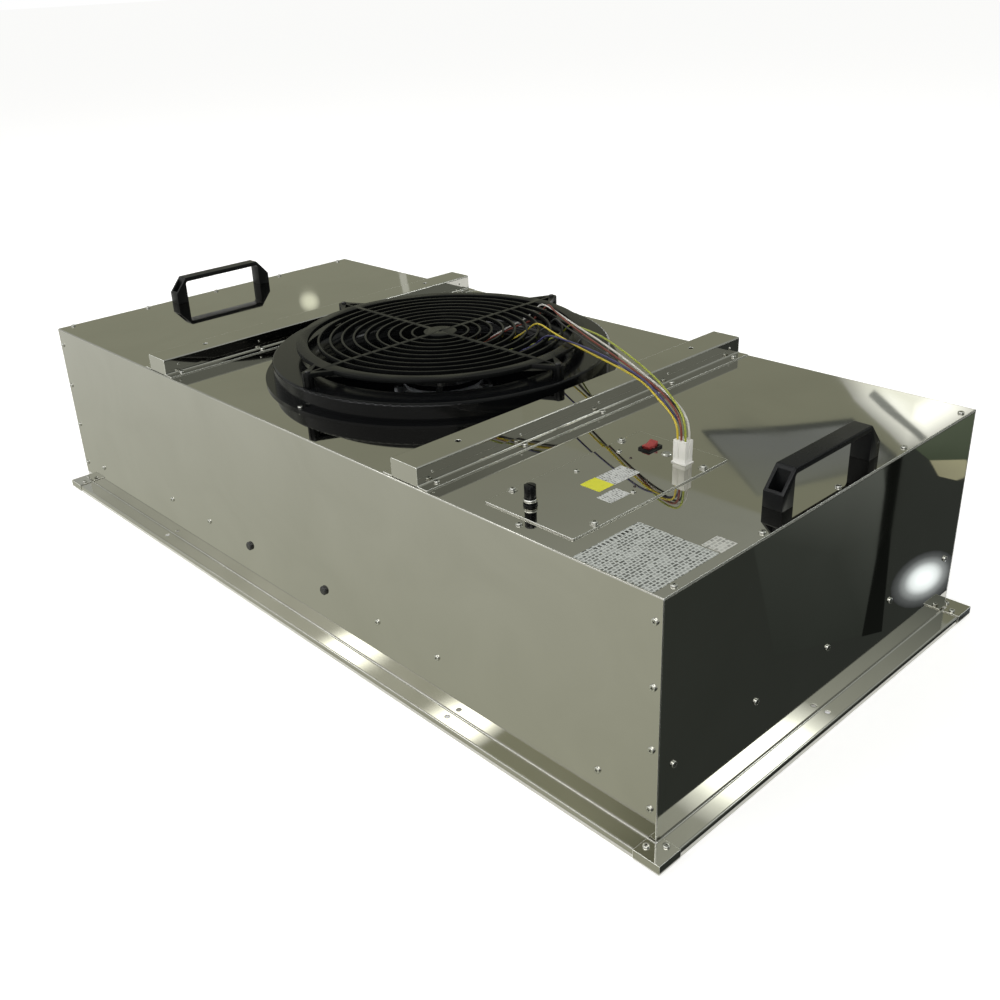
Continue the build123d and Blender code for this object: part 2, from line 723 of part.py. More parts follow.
with BuildPart() as filter_clamps:
    for end in (-1, 1):
        with BuildSketch(Plane.YZ.offset(end * clamp_x - CLAMP_W / 2)):
            with Locations((inner_w / 2, 0)):
                add(folded(clamp_points, CLAMP_T, CLAMP_BEND_R))
        extrude(amount=CLAMP_W)
    mirror(about=Plane.XZ)
    with Locations(*clamp_seats):
        Hole(SCREW_R, depth=SHEET + CLAMP_T)
filter_clamps.part.label = "filter_clamps"
export_step(filter_clamps.part, "parts/filter_clamps.step")

# ---------------------------------------------------------------- inlet ring
# One moulding: screw flange, raised body, bell mouth, throat and the motor carrier.
bell_top = ring_top - MOUTH_STEP
bell_turn = math.acos((THROAT_R + BELL_R - mouth_r) / BELL_R) / 2
bell_centre_z = bell_top - math.sqrt(BELL_R**2 - (THROAT_R + BELL_R - mouth_r) ** 2)
bell_middle = (
    THROAT_R + BELL_R * (1 - math.cos(bell_turn)),
    bell_centre_z + BELL_R * math.sin(bell_turn),
)

with BuildPart() as inlet_ring:
    with BuildSketch(Plane.XZ):
        with BuildLine():
            rim = Polyline(
                (ring_flange_r, deck_z + RING_WALL),
                (RING_BODY_R, deck_z + RING_WALL),
                (RING_BODY_R, ring_top - RING_ROUND),
            )
            shoulder = JernArc(rim @ 1, (0, 1), RING_ROUND, 90)
            flat = Polyline(shoulder @ 1, (mouth_r, ring_top), (mouth_r, bell_top))
            bell = ThreePointArc(flat @ 1, bell_middle, (THROAT_R, bell_centre_z))
            throat = Line(bell @ 1, (THROAT_R, throat_end))
            foot = Polyline(
                throat @ 1,
                (THROAT_R + RING_WALL, throat_end),
                (THROAT_R + RING_WALL, bell_centre_z),
            )
            under = ThreePointArc(
                foot @ 1,
                (bell_middle[0] + RING_WALL, bell_middle[1] - RING_WALL),
                (mouth_r + RING_WALL, bell_top - RING_WALL),
            )
            Polyline(
                under @ 1,
                (RING_BODY_R - RING_WALL, ring_top - RING_WALL),
                (RING_BODY_R - RING_WALL, deck_z),
                (ring_flange_r, deck_z),
                rim @ 0,
            )
        make_face()
    revolve(axis=Axis.Z)
    with PolarLocations((CARRIER_R + THROAT_R) / 2, ARM_COUNT, start_angle=between_arms):
        with Locations((0, 0, carrier_top - STRUT_H / 2)):
            Box(THROAT_R - CARRIER_R + 2 * STRUT_LAP, STRUT_W, STRUT_H)
    with BuildSketch(Plane.XY.offset(carrier_under)):
        Circle(CARRIER_R)
    extrude(amount=CARRIER_T)
    with BuildSketch(Plane.XY.offset(carrier_under)):
        Circle(CARRIER_R)
    extrude(amount=-STRUT_H, mode=Mode.SUBTRACT)
    with Locations(*ring_screw_seats):
        with Locations((0, 0, RING_WALL)):
            Hole(SCREW_R, depth=RING_WALL)
    with PolarLocations(post_at_r, ARM_COUNT):
        with Locations((0, 0, ring_top)):
            Hole(GUARD_SCREW_R, depth=RING_WALL)
    with PolarLocations(MOTOR_BOLT_AT_R, ARM_COUNT, start_angle=between_arms):
        with Locations((0, 0, carrier_top)):
            Hole(MOTOR_BOLT_R, depth=CARRIER_T)
    with Locations((MOTOR_BOLT_AT_R, 0, carrier_top)):
        Hole(LEAD_BOSS_R, depth=CARRIER_T)
inlet_ring.part.label = "inlet_ring"
export_step(inlet_ring.part, "parts/inlet_ring.step")

ring_screw = screw(SCREW_R, RING_WALL + SCREW_L, SCREW_HEAD_R, SCREW_HEAD_H)

with BuildPart() as ring_screws:
    with Locations(*ring_screw_seats):
        with Locations((0, 0, RING_WALL)):
            add(ring_screw)
ring_screws.part.label = "ring_screws"
export_step(ring_screws.part, "parts/ring_screws.step")

# ---------------------------------------------------------------- guard
# One moulding: hub, thin rings, a flat outer band, four arms, and feet on posts.
guard_under = guard_top - GUARD_T
guard_pitch = (band_in_r - LAST_RING_IN - HUB_R) / GUARD_RINGS
window_in = band_out_r + WINDOW_IN
window_out = post_at_r - POST_R - WINDOW_TIP
tab_root = band_out_r - TAB_LAP

with BuildSketch() as guard_foot:
    with BuildLine():
        Polyline(
            (tab_root, -TAB_HALF),
            (post_at_r, -POST_R),
            (post_at_r, POST_R),
            (tab_root, TAB_HALF),
            close=True,
        )
    make_face()
    for rib_side in (-1, 1):
        with BuildLine():
            Polyline(
                (window_in, rib_side * WINDOW_RIB),
                (window_in, rib_side * WINDOW_HALF),
                (window_out, rib_side * 2 * WINDOW_RIB),
                (window_out, rib_side * WINDOW_RIB),
                close=True,
            )
        make_face(mode=Mode.SUBTRACT)

with BuildPart() as fan_guard:
    with BuildSketch(Plane.XY.offset(guard_under)):
        Circle(band_out_r)
        Circle(band_in_r, mode=Mode.SUBTRACT)
        for ring in reversed(range(1, GUARD_RINGS + 1)):
            middle_r = HUB_R + ring * guard_pitch
            Circle(middle_r + GUARD_WIRE / 2)
            Circle(middle_r - GUARD_WIRE / 2, mode=Mode.SUBTRACT)
        Circle(HUB_R)
        with PolarLocations((HUB_R + band_in_r) / 2, ARM_COUNT):
            Rectangle(band_in_r - HUB_R + 2 * ARM_LAP, GUARD_ARM_W)
        with PolarLocations(0, ARM_COUNT):
            add(guard_foot.sketch)
    extrude(amount=GUARD_T)
    with PolarLocations(post_at_r, ARM_COUNT):
        with Locations((0, 0, ring_top)):
            Cylinder(POST_R, GUARD_RISE, align=(Align.CENTER, Align.CENTER, Align.MIN))
    for post_turn in arm_turns:
        post_x = post_at_r * math.cos(math.radians(post_turn))
        post_y = post_at_r * math.sin(math.radians(post_turn))
        with Locations((post_x, post_y, ring_top)):
            with PolarLocations(POST_R, POST_GROOVES, start_angle=180.0 / POST_GROOVES):
                Box(POST_GROOVE, POST_GROOVE, 2 * (GUARD_RISE - GUARD_T), mode=Mode.SUBTRACT)
            with Locations((0, 0, GUARD_RISE)):
                Hole(GUARD_SCREW_R, depth=GUARD_RISE)
    with Locations((0, 0, guard_top)):
        Hole(HUB_DIMPLE_R, depth=HUB_DIMPLE)
fan_guard.part.label = "fan_guard"
export_step(fan_guard.part, "parts/fan_guard.step")

guard_screw = screw(GUARD_SCREW_R, GUARD_RISE + RING_WALL, SCREW_HEAD_R, SCREW_HEAD_H)

with BuildPart() as guard_screws:
    with PolarLocations(post_at_r, ARM_COUNT):
        with Locations((0, 0, guard_top)):
            add(guard_screw)
guard_screws.part.label = "guard_screws"
export_step(guard_screws.part, "parts/guard_screws.step")

# ---------------------------------------------------------------- motor
# External-rotor motor, hung from the carrier: the stator is fixed, the cup turns round it.
motor_flange_under = carrier_under - MOTOR_FLANGE_T
rotor_rim = motor_flange_under - ROTOR_GAP
rotor_foot = rotor_rim - ROTOR_H
magnet_in_r = CORE_R + AIR_GAP
magnet_out_r = magnet_in_r + MAGNET_T
rotor_out_r = magnet_out_r + ROTOR_WALL
core_top = rotor_rim - CORE_DROP
core_foot = core_top - CORE_H
upper_bearing_z = motor_flange_under - BEARING_H
lower_bearing_z = core_foot - BEARING_H
tube_foot = lower_bearing_z
shaft_top = motor_flange_under

with BuildPart() as motor_stator:
    with BuildSketch(Plane.XY.offset(motor_flange_under)):
        Circle(MOTOR_FLANGE_R)
    extrude(amount=MOTOR_FLANGE_T)
    with BuildSketch(Plane.XY.offset(tube_foot)):
        Circle(TUBE_R)
    extrude(amount=motor_flange_under - tube_foot)
    with BuildSketch(Plane.XY.offset(core_foot)):
        Circle(CORE_R)
        with PolarLocations(CORE_R, CORE_SLOTS):
            Rectangle(2 * SLOT_DEPTH, SLOT_W, mode=Mode.SUBTRACT)
    extrude(amount=CORE_H)
    with BuildSketch(Plane.XY.offset(tube_foot)):
        Circle(BORE_R)
    extrude(amount=motor_flange_under - tube_foot, mode=Mode.SUBTRACT)
    with BuildSketch(Plane.XY.offset(lower_bearing_z + BEARING_H)):
        Circle(BORE_R + SLEEVE_LAP)
        Circle(BORE_R - SLEEVE_T, mode=Mode.SUBTRACT)
    extrude(amount=upper_bearing_z - lower_bearing_z - BEARING_H)
    with BuildSketch(Plane.XY.offset(carrier_under)):
        with Locations((MOTOR_BOLT_AT_R, 0)):
            Circle(LEAD_BOSS_R)
    extrude(amount=CARRIER_T + LEAD_BOSS_RISE)
    with PolarLocations(MOTOR_BOLT_AT_R, ARM_COUNT, start_angle=between_arms):
        with Locations((0, 0, carrier_under)):
            Hole(MOTOR_BOLT_R, depth=MOTOR_FLANGE_T)
motor_stator.part.label = "motor_stator"
export_step(motor_stator.part, "parts/motor_stator.step")

motor_bolt = screw(MOTOR_BOLT_R, CARRIER_T + MOTOR_FLANGE_T, BOLT_HEAD_R, BOLT_HEAD_H)

with BuildPart() as motor_bolts:
    with PolarLocations(MOTOR_BOLT_AT_R, ARM_COUNT, start_angle=between_arms):
        with Locations((0, 0, carrier_top)):
            add(motor_bolt)
motor_bolts.part.label = "motor_bolts"
export_step(motor_bolts.part, "parts/motor_bolts.step")

with BuildPart() as motor_bearings:
    for bearing_z in (lower_bearing_z, upper_bearing_z):
        with BuildSketch(Plane.XY.offset(bearing_z)):
            Circle(BORE_R)
            Circle(SHAFT_R + SHAFT_PLAY, mode=Mode.SUBTRACT)
        extrude(amount=BEARING_H)
motor_bearings.part.label = "motor_bearings"
export_step(motor_bearings.part, "parts/motor_bearings.step")

with BuildPart() as motor_shaft:
    with BuildSketch(Plane.XY.offset(rotor_foot)):
        Circle(SHAFT_R)
    extrude(amount=shaft_top - rotor_foot - SHAFT_END_GAP)
motor_shaft.part.label = "motor_shaft"
export_step(motor_shaft.part, "parts/motor_shaft.step")

with BuildPart() as motor_rotor:
    with BuildSketch(Plane.XY.offset(rotor_foot)):
        Circle(rotor_out_r)
    extrude(amount=ROTOR_H)
    with BuildSketch(Plane.XY.offset(rotor_foot + ROTOR_FLOOR)):
        Circle(magnet_out_r)
    extrude(amount=ROTOR_H, mode=Mode.SUBTRACT)
    with BuildSketch(Plane.XY.offset(rotor_foot)):
        Circle(BORE_R)
    extrude(amount=ROTOR_FLOOR + ROTOR_BOSS)
    with BuildSketch(Plane.XY.offset(rotor_foot)):
        Circle(SHAFT_R)
        with PolarLocations(WHEEL_SCREW_AT_R, ARM_COUNT):
            Circle(WHEEL_SCREW_R)
    extrude(amount=ROTOR_FLOOR + ROTOR_BOSS, mode=Mode.SUBTRACT)
    foot_edges = motor_rotor.edges().filter_by(GeomType.CIRCLE).group_by(Axis.Z)[0]
    fillet(foot_edges.sort_by(SortBy.RADIUS)[-1], ROTOR_ROUND)
motor_rotor.part.label = "motor_rotor"
export_step(motor_rotor.part, "parts/motor_rotor.step")

with BuildPart() as rotor_magnets:
    with BuildSketch(Plane.XY.offset(core_foot)):
        Circle(magnet_out_r)
        Circle(magnet_in_r, mode=Mode.SUBTRACT)
    extrude(amount=CORE_H)
rotor_magnets.part.label = "rotor_magnets"
export_step(rotor_magnets.part, "parts/rotor_magnets.step")

# ---------------------------------------------------------------- impeller
# Back plate, hub dish and backward-curved blades are one moulding; the shroud is welded on.
hub_face = rotor_foot
plate_top = hub_face - WHEEL_DISH
collar_r = THROAT_R + RING_WALL + SHROUD_GAP
collar_top = throat_end + COLLAR_LAP
collar_foot = collar_top - COLLAR_H
dish_points = [(WHEEL_BORE_R, hub_face), (DISH_TOP_R, hub_face)]
dish_points += [(DISH_FOOT_R, plate_top), (WHEEL_R, plate_top)]

with BuildLine() as flare:
    bend = JernArc((collar_r, collar_foot), (0, -1), SHROUD_BEND, SHROUD_TURN)
    slope_run = (WHEEL_R - (bend @ 1).X) / (bend % 1).X
    Line(bend @ 1, (bend @ 1) + (bend % 1) * slope_run)
flare_end = tuple(flare.line @ 1)[:2]

with BuildPart() as impeller_shroud:
    with BuildSketch(Plane.XZ):
        with BuildLine():
            Line((collar_r, collar_top), (collar_r, collar_foot))
            add(flare.line)
            offset(amount=SHROUD_T, side=Side.LEFT)
        make_face()
    revolve(axis=Axis.Z)
impeller_shroud.part.label = "impeller_shroud"
export_step(impeller_shroud.part, "parts/impeller_shroud.step")

blade_ends = [
    tuple(PolarLocations(radius, 1, start_angle=turn).local_locations[0].position)[:2]
    for radius, turn in (
        (BLADE_IN_R, 0.0),
        ((BLADE_IN_R + BLADE_OUT_R) / 2, BLADE_BELLY * BLADE_SWEEP),
        (BLADE_OUT_R, BLADE_SWEEP),
    )
]

with BuildSketch() as blade_plan:
    with BuildLine():
        ThreePointArc(*blade_ends)
        offset(amount=BLADE_T, side=Side.LEFT)
    make_face()


def blade_ring():
    """Blades between the back plate and the flow side of the shroud."""
    with BuildPart() as blades:
        with BuildSketch(Plane.XY.offset(plate_top)):
            with PolarLocations(0, BLADES):
                add(blade_plan.sketch)
        extrude(amount=collar_foot - plate_top)
        with BuildSketch(Plane.XZ):
            with BuildLine():
                add(flare.line)
                Polyline(
                    flare_end,
                    (WHEEL_R, plate_top),
                    (BLADE_IN_R - BLADE_T, plate_top),
                    (BLADE_IN_R - BLADE_T, collar_foot - BLADE_CUT),
                    (collar_r, collar_foot),
                )
            make_face()
        revolve(axis=Axis.Z, mode=Mode.INTERSECT)
    return blades.part


wheel_blades = blade_ring()

with BuildPart() as impeller_wheel:
    with BuildSketch(Plane.XZ):
        add(folded(dish_points, WHEEL_T, WHEEL_FOLD_R))
    revolve(axis=Axis.Z)
    add(wheel_blades)
    with PolarLocations(WHEEL_SCREW_AT_R, ARM_COUNT):
        with Locations((0, 0, hub_face)):
            Hole(WHEEL_SCREW_R, depth=WHEEL_T)
impeller_wheel.part.label = "impeller_wheel"
export_step(impeller_wheel.part, "parts/impeller_wheel.step")

wheel_screw = screw(WHEEL_SCREW_R, WHEEL_T + ROTOR_FLOOR, WHEEL_HEAD_R, WHEEL_HEAD_H)
wheel_underside = Plane((0, 0, hub_face - WHEEL_T), z_dir=(0, 0, -1))

with BuildPart() as wheel_screws:
    with Locations(wheel_underside):
        with PolarLocations(WHEEL_SCREW_AT_R, ARM_COUNT):
            add(wheel_screw)
wheel_screws.part.label = "wheel_screws"
export_step(wheel_screws.part, "parts/wheel_screws.step")

# ---------------------------------------------------------------- deck rails
# Hat sections with closed ends, screwed to the deck; units hang from their top holes.
rail_l = BOX_W - 2 * RAIL_END_GAP
rail_foot = RAIL_W / 2 + RAIL_FLANGE
rail_points = [(-rail_foot, RAIL_T), (-RAIL_W / 2, RAIL_T), (-RAIL_W / 2, RAIL_H)]
rail_points += [(RAIL_W / 2, RAIL_H), (RAIL_W / 2, RAIL_T), (rail_foot, RAIL_T)]


def deck_rail(x):
    """Rail over the deck at x, its inner flange cut back round the inlet ring."""
    with BuildPart() as rail:
        with BuildSketch(Plane.XZ.offset(-rail_l / 2)):
            with Locations((x, deck_z)):
                add(folded(rail_points, RAIL_T, BEND_R))
        extrude(amount=rail_l)
        for end in (-1, 1):
            with Locations((x, end * (rail_l - RAIL_T) / 2, deck_z + RAIL_H / 2)):
                Box(RAIL_W - RAIL_T, RAIL_T, RAIL_H - RAIL_T)
        with Locations(*[(x, end * RAIL_HOLE_Y, deck_z + RAIL_H) for end in (-1, 1)]):
            Hole(RAIL_HOLE_R, depth=RAIL_T)
        with Locations(*rail_seats):
            with Locations((0, 0, RAIL_T)):
                Hole(SCREW_R, depth=RAIL_T)
        with Locations((0, 0, deck_z)):
            Cylinder(ring_flange_r + RAIL_RING_GAP, 2 * BEND_R, mode=Mode.SUBTRACT)
    return rail.part


left_rail = deck_rail(rail_left_x)
right_rail = deck_rail(rail_right_x)

with BuildPart() as deck_rail_left:
    add(left_rail)
deck_rail_left.part.label = "deck_rail_left"
export_step(deck_rail_left.part, "parts/deck_rail_left.step")

with BuildPart() as deck_rail_right:
    add(right_rail)
deck_rail_right.part.label = "deck_rail_right"
export_step(deck_rail_right.part, "parts/deck_rail_right.step")

with BuildPart() as rail_screws:
    with Locations(*rail_seats):
        with Locations((0, 0, RAIL_T)):
            add(pan_screw)
rail_screws.part.label = "rail_screws"
export_step(rail_screws.part, "parts/rail_screws.step")

# ---------------------------------------------------------------- handles
# Moulded bridge handles; a pocket in each shoulder lets the bolt down to the foot.
handle_half = HANDLE_L / 2
grip_half = handle_half - SHOULDER_Y
finger_half = handle_half - HANDLE_LEG
finger_h = HANDLE_H - GRIP_T

with BuildSketch() as handle_side:
    with BuildLine():
        Polyline(
            (-handle_half, 0),
            (-handle_half, SHOULDER_Z),
            (-grip_half, HANDLE_H),
            (grip_half, HANDLE_H),
            (handle_half, SHOULDER_Z),
            (handle_half, 0),
            (finger_half, 0),
            (finger_half, finger_h),
            (-finger_half, finger_h),
            (-finger_half, 0),
            close=True,
        )
    make_face()
    fillet(handle_side.vertices().group_by(Axis.Y)[-2], HANDLE_ROUND)


def bridge_handle(x):
    """Handle standing on the deck at x, along Y."""
    with BuildPart() as handle:
        with BuildSketch(Plane.YZ.offset(x - HANDLE_W / 2)):
            with Locations((HANDLE_Y, deck_z)):
                add(handle_side.sketch)
        extrude(amount=HANDLE_W)
        fillet(handle.edges().filter_by(Axis.Y).group_by(Axis.Z)[-1], HANDLE_EDGE_R)
        for end in (-1, 1):
            with Locations((x, HANDLE_Y + end * handle_bolt_y, deck_z + POCKET_FLOOR)):
                Box(
                    POCKET_W,
                    pocket_l,
                    HANDLE_H,
                    align=(Align.CENTER, Align.CENTER, Align.MIN),
                    mode=Mode.SUBTRACT,
                )
        with Locations(*handle_seats):
            with Locations((0, 0, POCKET_FLOOR)):
                Hole(HANDLE_BOLT_R, depth=POCKET_FLOOR)
    return handle.part


left_handle = bridge_handle(handle_left_x)
right_handle = bridge_handle(handle_right_x)

with BuildPart() as handle_left:
    add(left_handle)
handle_left.part.label = "handle_left"
export_step(handle_left.part, "parts/handle_left.step")

with BuildPart() as handle_right:
    add(right_handle)
handle_right.part.label = "handle_right"
export_step(handle_right.part, "parts/handle_right.step")

handle_grip = POCKET_FLOOR + 2 * SHEET  # foot, deck and the end panel's return
handle_bolt = screw(
    HANDLE_BOLT_R, handle_grip + NUT_H + BOLT_END, HANDLE_BOLT_HEAD_R, HANDLE_BOLT_HEAD_H
)
handle_nut = nut(NUT_R, NUT_H, HANDLE_BOLT_R)

with BuildPart() as handle_bolts:
    with Locations(*handle_seats):
        with Locations((0, 0, POCKET_FLOOR)):
            add(handle_bolt)
handle_bolts.part.label = "handle_bolts"
export_step(handle_bolts.part, "parts/handle_bolts.step")

with BuildPart() as handle_nuts:
    with Locations(*handle_seats):
        with Locations((0, 0, -2 * SHEET - NUT_H)):
            add(handle_nut)
handle_nuts.part.label = "handle_nuts"
export_step(handle_nuts.part, "parts/handle_nuts.step")

# ---------------------------------------------------------------- electrical cover
# A plate over a tray in the deck; it carries the switch, the fuse, the socket and a lamp.
cover_top = deck_z + COVER_T
board_top = deck_z - BOARD_DROP
socket_l = PLUG_L
socket_w = PLUG_W

with BuildPart() as control_cover:
    with BuildSketch(Plane.XY.offset(deck_z)):
        with Locations((cover_mid_x, cover_mid_y)):
            RectangleRounded(cover_l, cover_w, COVER_CORNER_R)
        with Locations((SWITCH_X, SWITCH_Y)):
            Rectangle(SWITCH_W, SWITCH_L, mode=Mode.SUBTRACT)
        with Locations((FUSE_X, FUSE_Y)):
            Circle(FUSE_BODY_R, mode=Mode.SUBTRACT)
        with Locations((PLUG_X, PLUG_Y)):
            Rectangle(socket_w, socket_l, mode=Mode.SUBTRACT)
        with Locations((LAMP_X, LAMP_Y)):
            Circle(LAMP_BORE_R, mode=Mode.SUBTRACT)
        with Locations(*LED_SEATS):
            Circle(LED_R, mode=Mode.SUBTRACT)
        with Locations(*BOARD_SEATS):
            Circle(BOARD_SCREW_R, mode=Mode.SUBTRACT)
    extrude(amount=COVER_T)
    with Locations(*cover_seats):
        with Locations((0, 0, COVER_T)):
            Hole(SCREW_R, depth=COVER_T)
control_cover.part.label = "control_cover"
export_step(control_cover.part, "parts/control_cover.step")

cover_pan_screw = screw(SCREW_R, COVER_WASHER_T + COVER_SCREW_L, SCREW_HEAD_R, SCREW_HEAD_H)

with BuildPart() as cover_screw:
    Cylinder(COVER_WASHER_R, COVER_WASHER_T, align=(Align.CENTER, Align.CENTER, Align.MIN))
    with Locations((0, 0, COVER_WASHER_T)):
        add(cover_pan_screw)

with BuildPart() as cover_screws:
    with Locations(*cover_seats):
        with Locations((0, 0, COVER_T)):
            add(cover_screw.part)
cover_screws.part.label = "cover_screws"
export_step(cover_screws.part, "parts/cover_screws.step")

with BuildPart() as control_tray:
    with BuildSketch(Plane.XY.offset(deck_under)):
        with Locations((cover_mid_x, cover_mid_y)):
            Rectangle(cover_l, cover_w)
    extrude(amount=-TRAY_T)
    with BuildSketch(Plane.XY.offset(deck_under)):
        with Locations((cover_mid_x, cover_mid_y)):
            Rectangle(hole_l + 2 * TRAY_T, hole_w + 2 * TRAY_T)
    extrude(amount=-TRAY_DEPTH)
    with BuildSketch(Plane.XY.offset(deck_under)):
        with Locations((cover_mid_x, cover_mid_y)):
            Rectangle(hole_l, hole_w)
    extrude(amount=TRAY_T - TRAY_DEPTH, mode=Mode.SUBTRACT)
    with Locations(*cover_seats):
        Hole(SCREW_R, depth=SHEET + TRAY_T)
control_tray.part.label = "control_tray"
export_step(control_tray.part, "parts/control_tray.step")

# The speed board hangs under the cover on three spacers.
with BuildPart() as speed_board:
    with BuildSketch(Plane.XY.offset(board_top)):
        with Locations((BOARD_X, BOARD_Y)):
            Rectangle(BOARD_L, BOARD_W)
    extrude(amount=-BOARD_T)
    with BuildSketch(Plane.XY.offset(board_top)):
        with Locations(*BOARD_SEATS):
            Circle(SPACER_R)
    extrude(amount=BOARD_DROP)
    with Locations(*[(*seat, deck_z) for seat in BOARD_SEATS]):
        Hole(BOARD_SCREW_R, depth=BOARD_DROP + BOARD_T)
speed_board.part.label = "speed_board"
export_step(speed_board.part, "parts/speed_board.step")

board_screw = screw(BOARD_SCREW_R, COVER_T + SCREW_L, 2 * BOARD_SCREW_R, BOARD_SCREW_R)

with BuildPart() as board_screws:
    with Locations(*[(*seat, cover_top) for seat in BOARD_SEATS]):
        add(board_screw)
board_screws.part.label = "board_screws"
export_step(board_screws.part, "parts/board_screws.step")

with BuildPart() as status_leds:
    with BuildSketch(Plane.XY.offset(board_top)):
        with Locations(*LED_SEATS):
            Circle(LED_R)
    extrude(amount=BOARD_DROP + COVER_T + LED_R / 2)
    fillet(status_leds.edges().group_by(Axis.Z)[-1], LED_R / 2)
status_leds.part.label = "status_leds"
export_step(status_leds.part, "parts/status_leds.step")

# The run capacitor stands on the tray's floor.
capacitor_foot = deck_under - TRAY_DEPTH + TRAY_T

with BuildPart() as run_capacitor:
    with BuildSketch(Plane.XY.offset(capacitor_foot)):
        with Locations((CAPACITOR_X, CAPACITOR_Y)):
            Circle(CAPACITOR_R)
    extrude(amount=CAPACITOR_H)
    fillet(run_capacitor.edges().group_by(Axis.Z)[-1], CAPACITOR_EDGE_R)
run_capacitor.part.label = "run_capacitor"
export_step(run_capacitor.part, "parts/run_capacitor.step")

# ---------------------------------------------------------------- switch
pivot_z = cover_top + ROCKER_PIN_R
rocker_swing_r = math.hypot(ROCKER_REACH, ROCKER_TIP_Z)
well_l = 2 * (rocker_swing_r + ROCKER_PLAY)
well_w = ROCKER_W + 2 * ROCKER_PLAY
well_depth = rocker_swing_r + ROCKER_PLAY
pin_l = (ROCKER_W + SWITCH_W) / 2

with BuildPart() as switch_body:
    with BuildSketch(Plane.XY.offset(cover_top)):
        with Locations((SWITCH_X, SWITCH_Y)):
            RectangleRounded(SWITCH_W + 2 * SWITCH_BEZEL, SWITCH_L + 2 * SWITCH_BEZEL, SWITCH_BEZEL)
    extrude(amount=SWITCH_BEZEL_T)
    with BuildSketch(Plane.XY.offset(cover_top)):
        with Locations((SWITCH_X, SWITCH_Y)):
            Rectangle(SWITCH_W, SWITCH_L)
    extrude(amount=-SWITCH_DEPTH)
    with BuildSketch(Plane.XY.offset(cover_top + SWITCH_BEZEL_T)):
        with Locations((SWITCH_X, SWITCH_Y)):
            Rectangle(well_w, well_l)
    extrude(amount=-well_depth, mode=Mode.SUBTRACT)
    with BuildSketch(Plane.YZ.offset(SWITCH_X)):
        with Locations((SWITCH_Y, pivot_z)):
            Circle(ROCKER_PIN_R + ROCKER_PLAY / 2)
    extrude(amount=pin_l / 2 + ROCKER_PLAY, both=True, mode=Mode.SUBTRACT)
switch_body.part.label = "switch_body"
export_step(switch_body.part, "parts/switch_body.step")

with BuildSketch() as rocker_side:
    with BuildLine():
        Polyline(
            (-ROCKER_REACH, ROCKER_TIP_Z),
            (0, ROCKER_MIDDLE_Z),
            (ROCKER_REACH, ROCKER_TIP_Z),
            (ROCKER_REACH - ROCKER_PIN_R, 0),
            (0, -ROCKER_MIDDLE_Z),
            (ROCKER_PIN_R - ROCKER_REACH, 0),
            close=True,
        )
    make_face()

with BuildPart() as rocker:
    with BuildSketch(Plane.YZ.offset(SWITCH_X)):
        with Locations(Location((SWITCH_Y, pivot_z), ROCKER_TILT)):
            add(rocker_side.sketch)
    extrude(amount=ROCKER_W / 2, both=True)
    with BuildSketch(Plane.YZ.offset(SWITCH_X)):
        with Locations((SWITCH_Y, pivot_z)):
            Circle(ROCKER_PIN_R)
    extrude(amount=pin_l / 2, both=True)
rocker.part.label = "rocker"
export_step(rocker.part, "parts/rocker.step")

# ---------------------------------------------------------------- fuse holder
neck_top = cover_top + FUSE_NECK_H
cap_top = cover_top + FUSE_TOP_H
cap_foot = neck_top + FUSE_PLAY

with BuildPart() as fuse_body:
    with BuildSketch(Plane.XY.offset(cover_top)):
        with Locations((FUSE_X, FUSE_Y)):
            Circle(FUSE_COLLAR_R)
    extrude(amount=FUSE_COLLAR_T)
    with BuildSketch(Plane.XY.offset(cover_top - FUSE_DEPTH)):
        with Locations((FUSE_X, FUSE_Y)):
            Circle(FUSE_BODY_R)
    extrude(amount=FUSE_DEPTH)
    with BuildSketch(Plane.XY.offset(cover_top)):
        with Locations((FUSE_X, FUSE_Y)):
            Circle(FUSE_CAP_R)
    extrude(amount=FUSE_NECK_H)
    with Locations((FUSE_X, FUSE_Y, neck_top)):
        Hole(FUSE_BORE_R, depth=FUSE_NECK_H + FUSE_DEPTH - FUSE_COLLAR_T)
fuse_body.part.label = "fuse_body"
export_step(fuse_body.part, "parts/fuse_body.step")

with BuildPart() as fuse_nut:
    with BuildSketch(Plane.XY.offset(deck_z)):
        with Locations((FUSE_X, FUSE_Y)):
            RegularPolygon(FUSE_NUT_R, 6)
            Circle(FUSE_BODY_R, mode=Mode.SUBTRACT)
    extrude(amount=-NUT_H)
fuse_nut.part.label = "fuse_nut"
export_step(fuse_nut.part, "parts/fuse_nut.step")

with BuildPart() as fuse_cap:
    with BuildSketch(Plane.XY.offset(cap_foot)):
        with Locations((FUSE_X, FUSE_Y)):
            Circle(FUSE_CAP_R)
            with PolarLocations(FUSE_CAP_R, FUSE_GRIPS):
                Circle(FUSE_PLAY, mode=Mode.SUBTRACT)
    extrude(amount=cap_top - cap_foot)
    with BuildSketch(Plane.XY.offset(cap_foot)):
        with Locations((FUSE_X, FUSE_Y)):
            Circle(FUSE_BORE_R - FUSE_PLAY)
    extrude(amount=-FUSE_SPIGOT)
    with BuildSketch(Plane.XY.offset(cap_top)):
        with Locations((FUSE_X, FUSE_Y)):
            Rectangle(2 * FUSE_CAP_R, FUSE_SLOT_W)
    extrude(amount=-FUSE_SLOT_W, mode=Mode.SUBTRACT)
fuse_cap.part.label = "fuse_cap"
export_step(fuse_cap.part, "parts/fuse_cap.step")

with BuildPart() as fuse_link:
    with BuildSketch(Plane.XY.offset(cap_foot - FUSE_SPIGOT)):
        with Locations((FUSE_X, FUSE_Y)):
            Circle(FUSE_LINK_R)
    extrude(amount=-FUSE_LINK_L)
fuse_link.part.label = "fuse_link"
export_step(fuse_link.part, "parts/fuse_link.step")

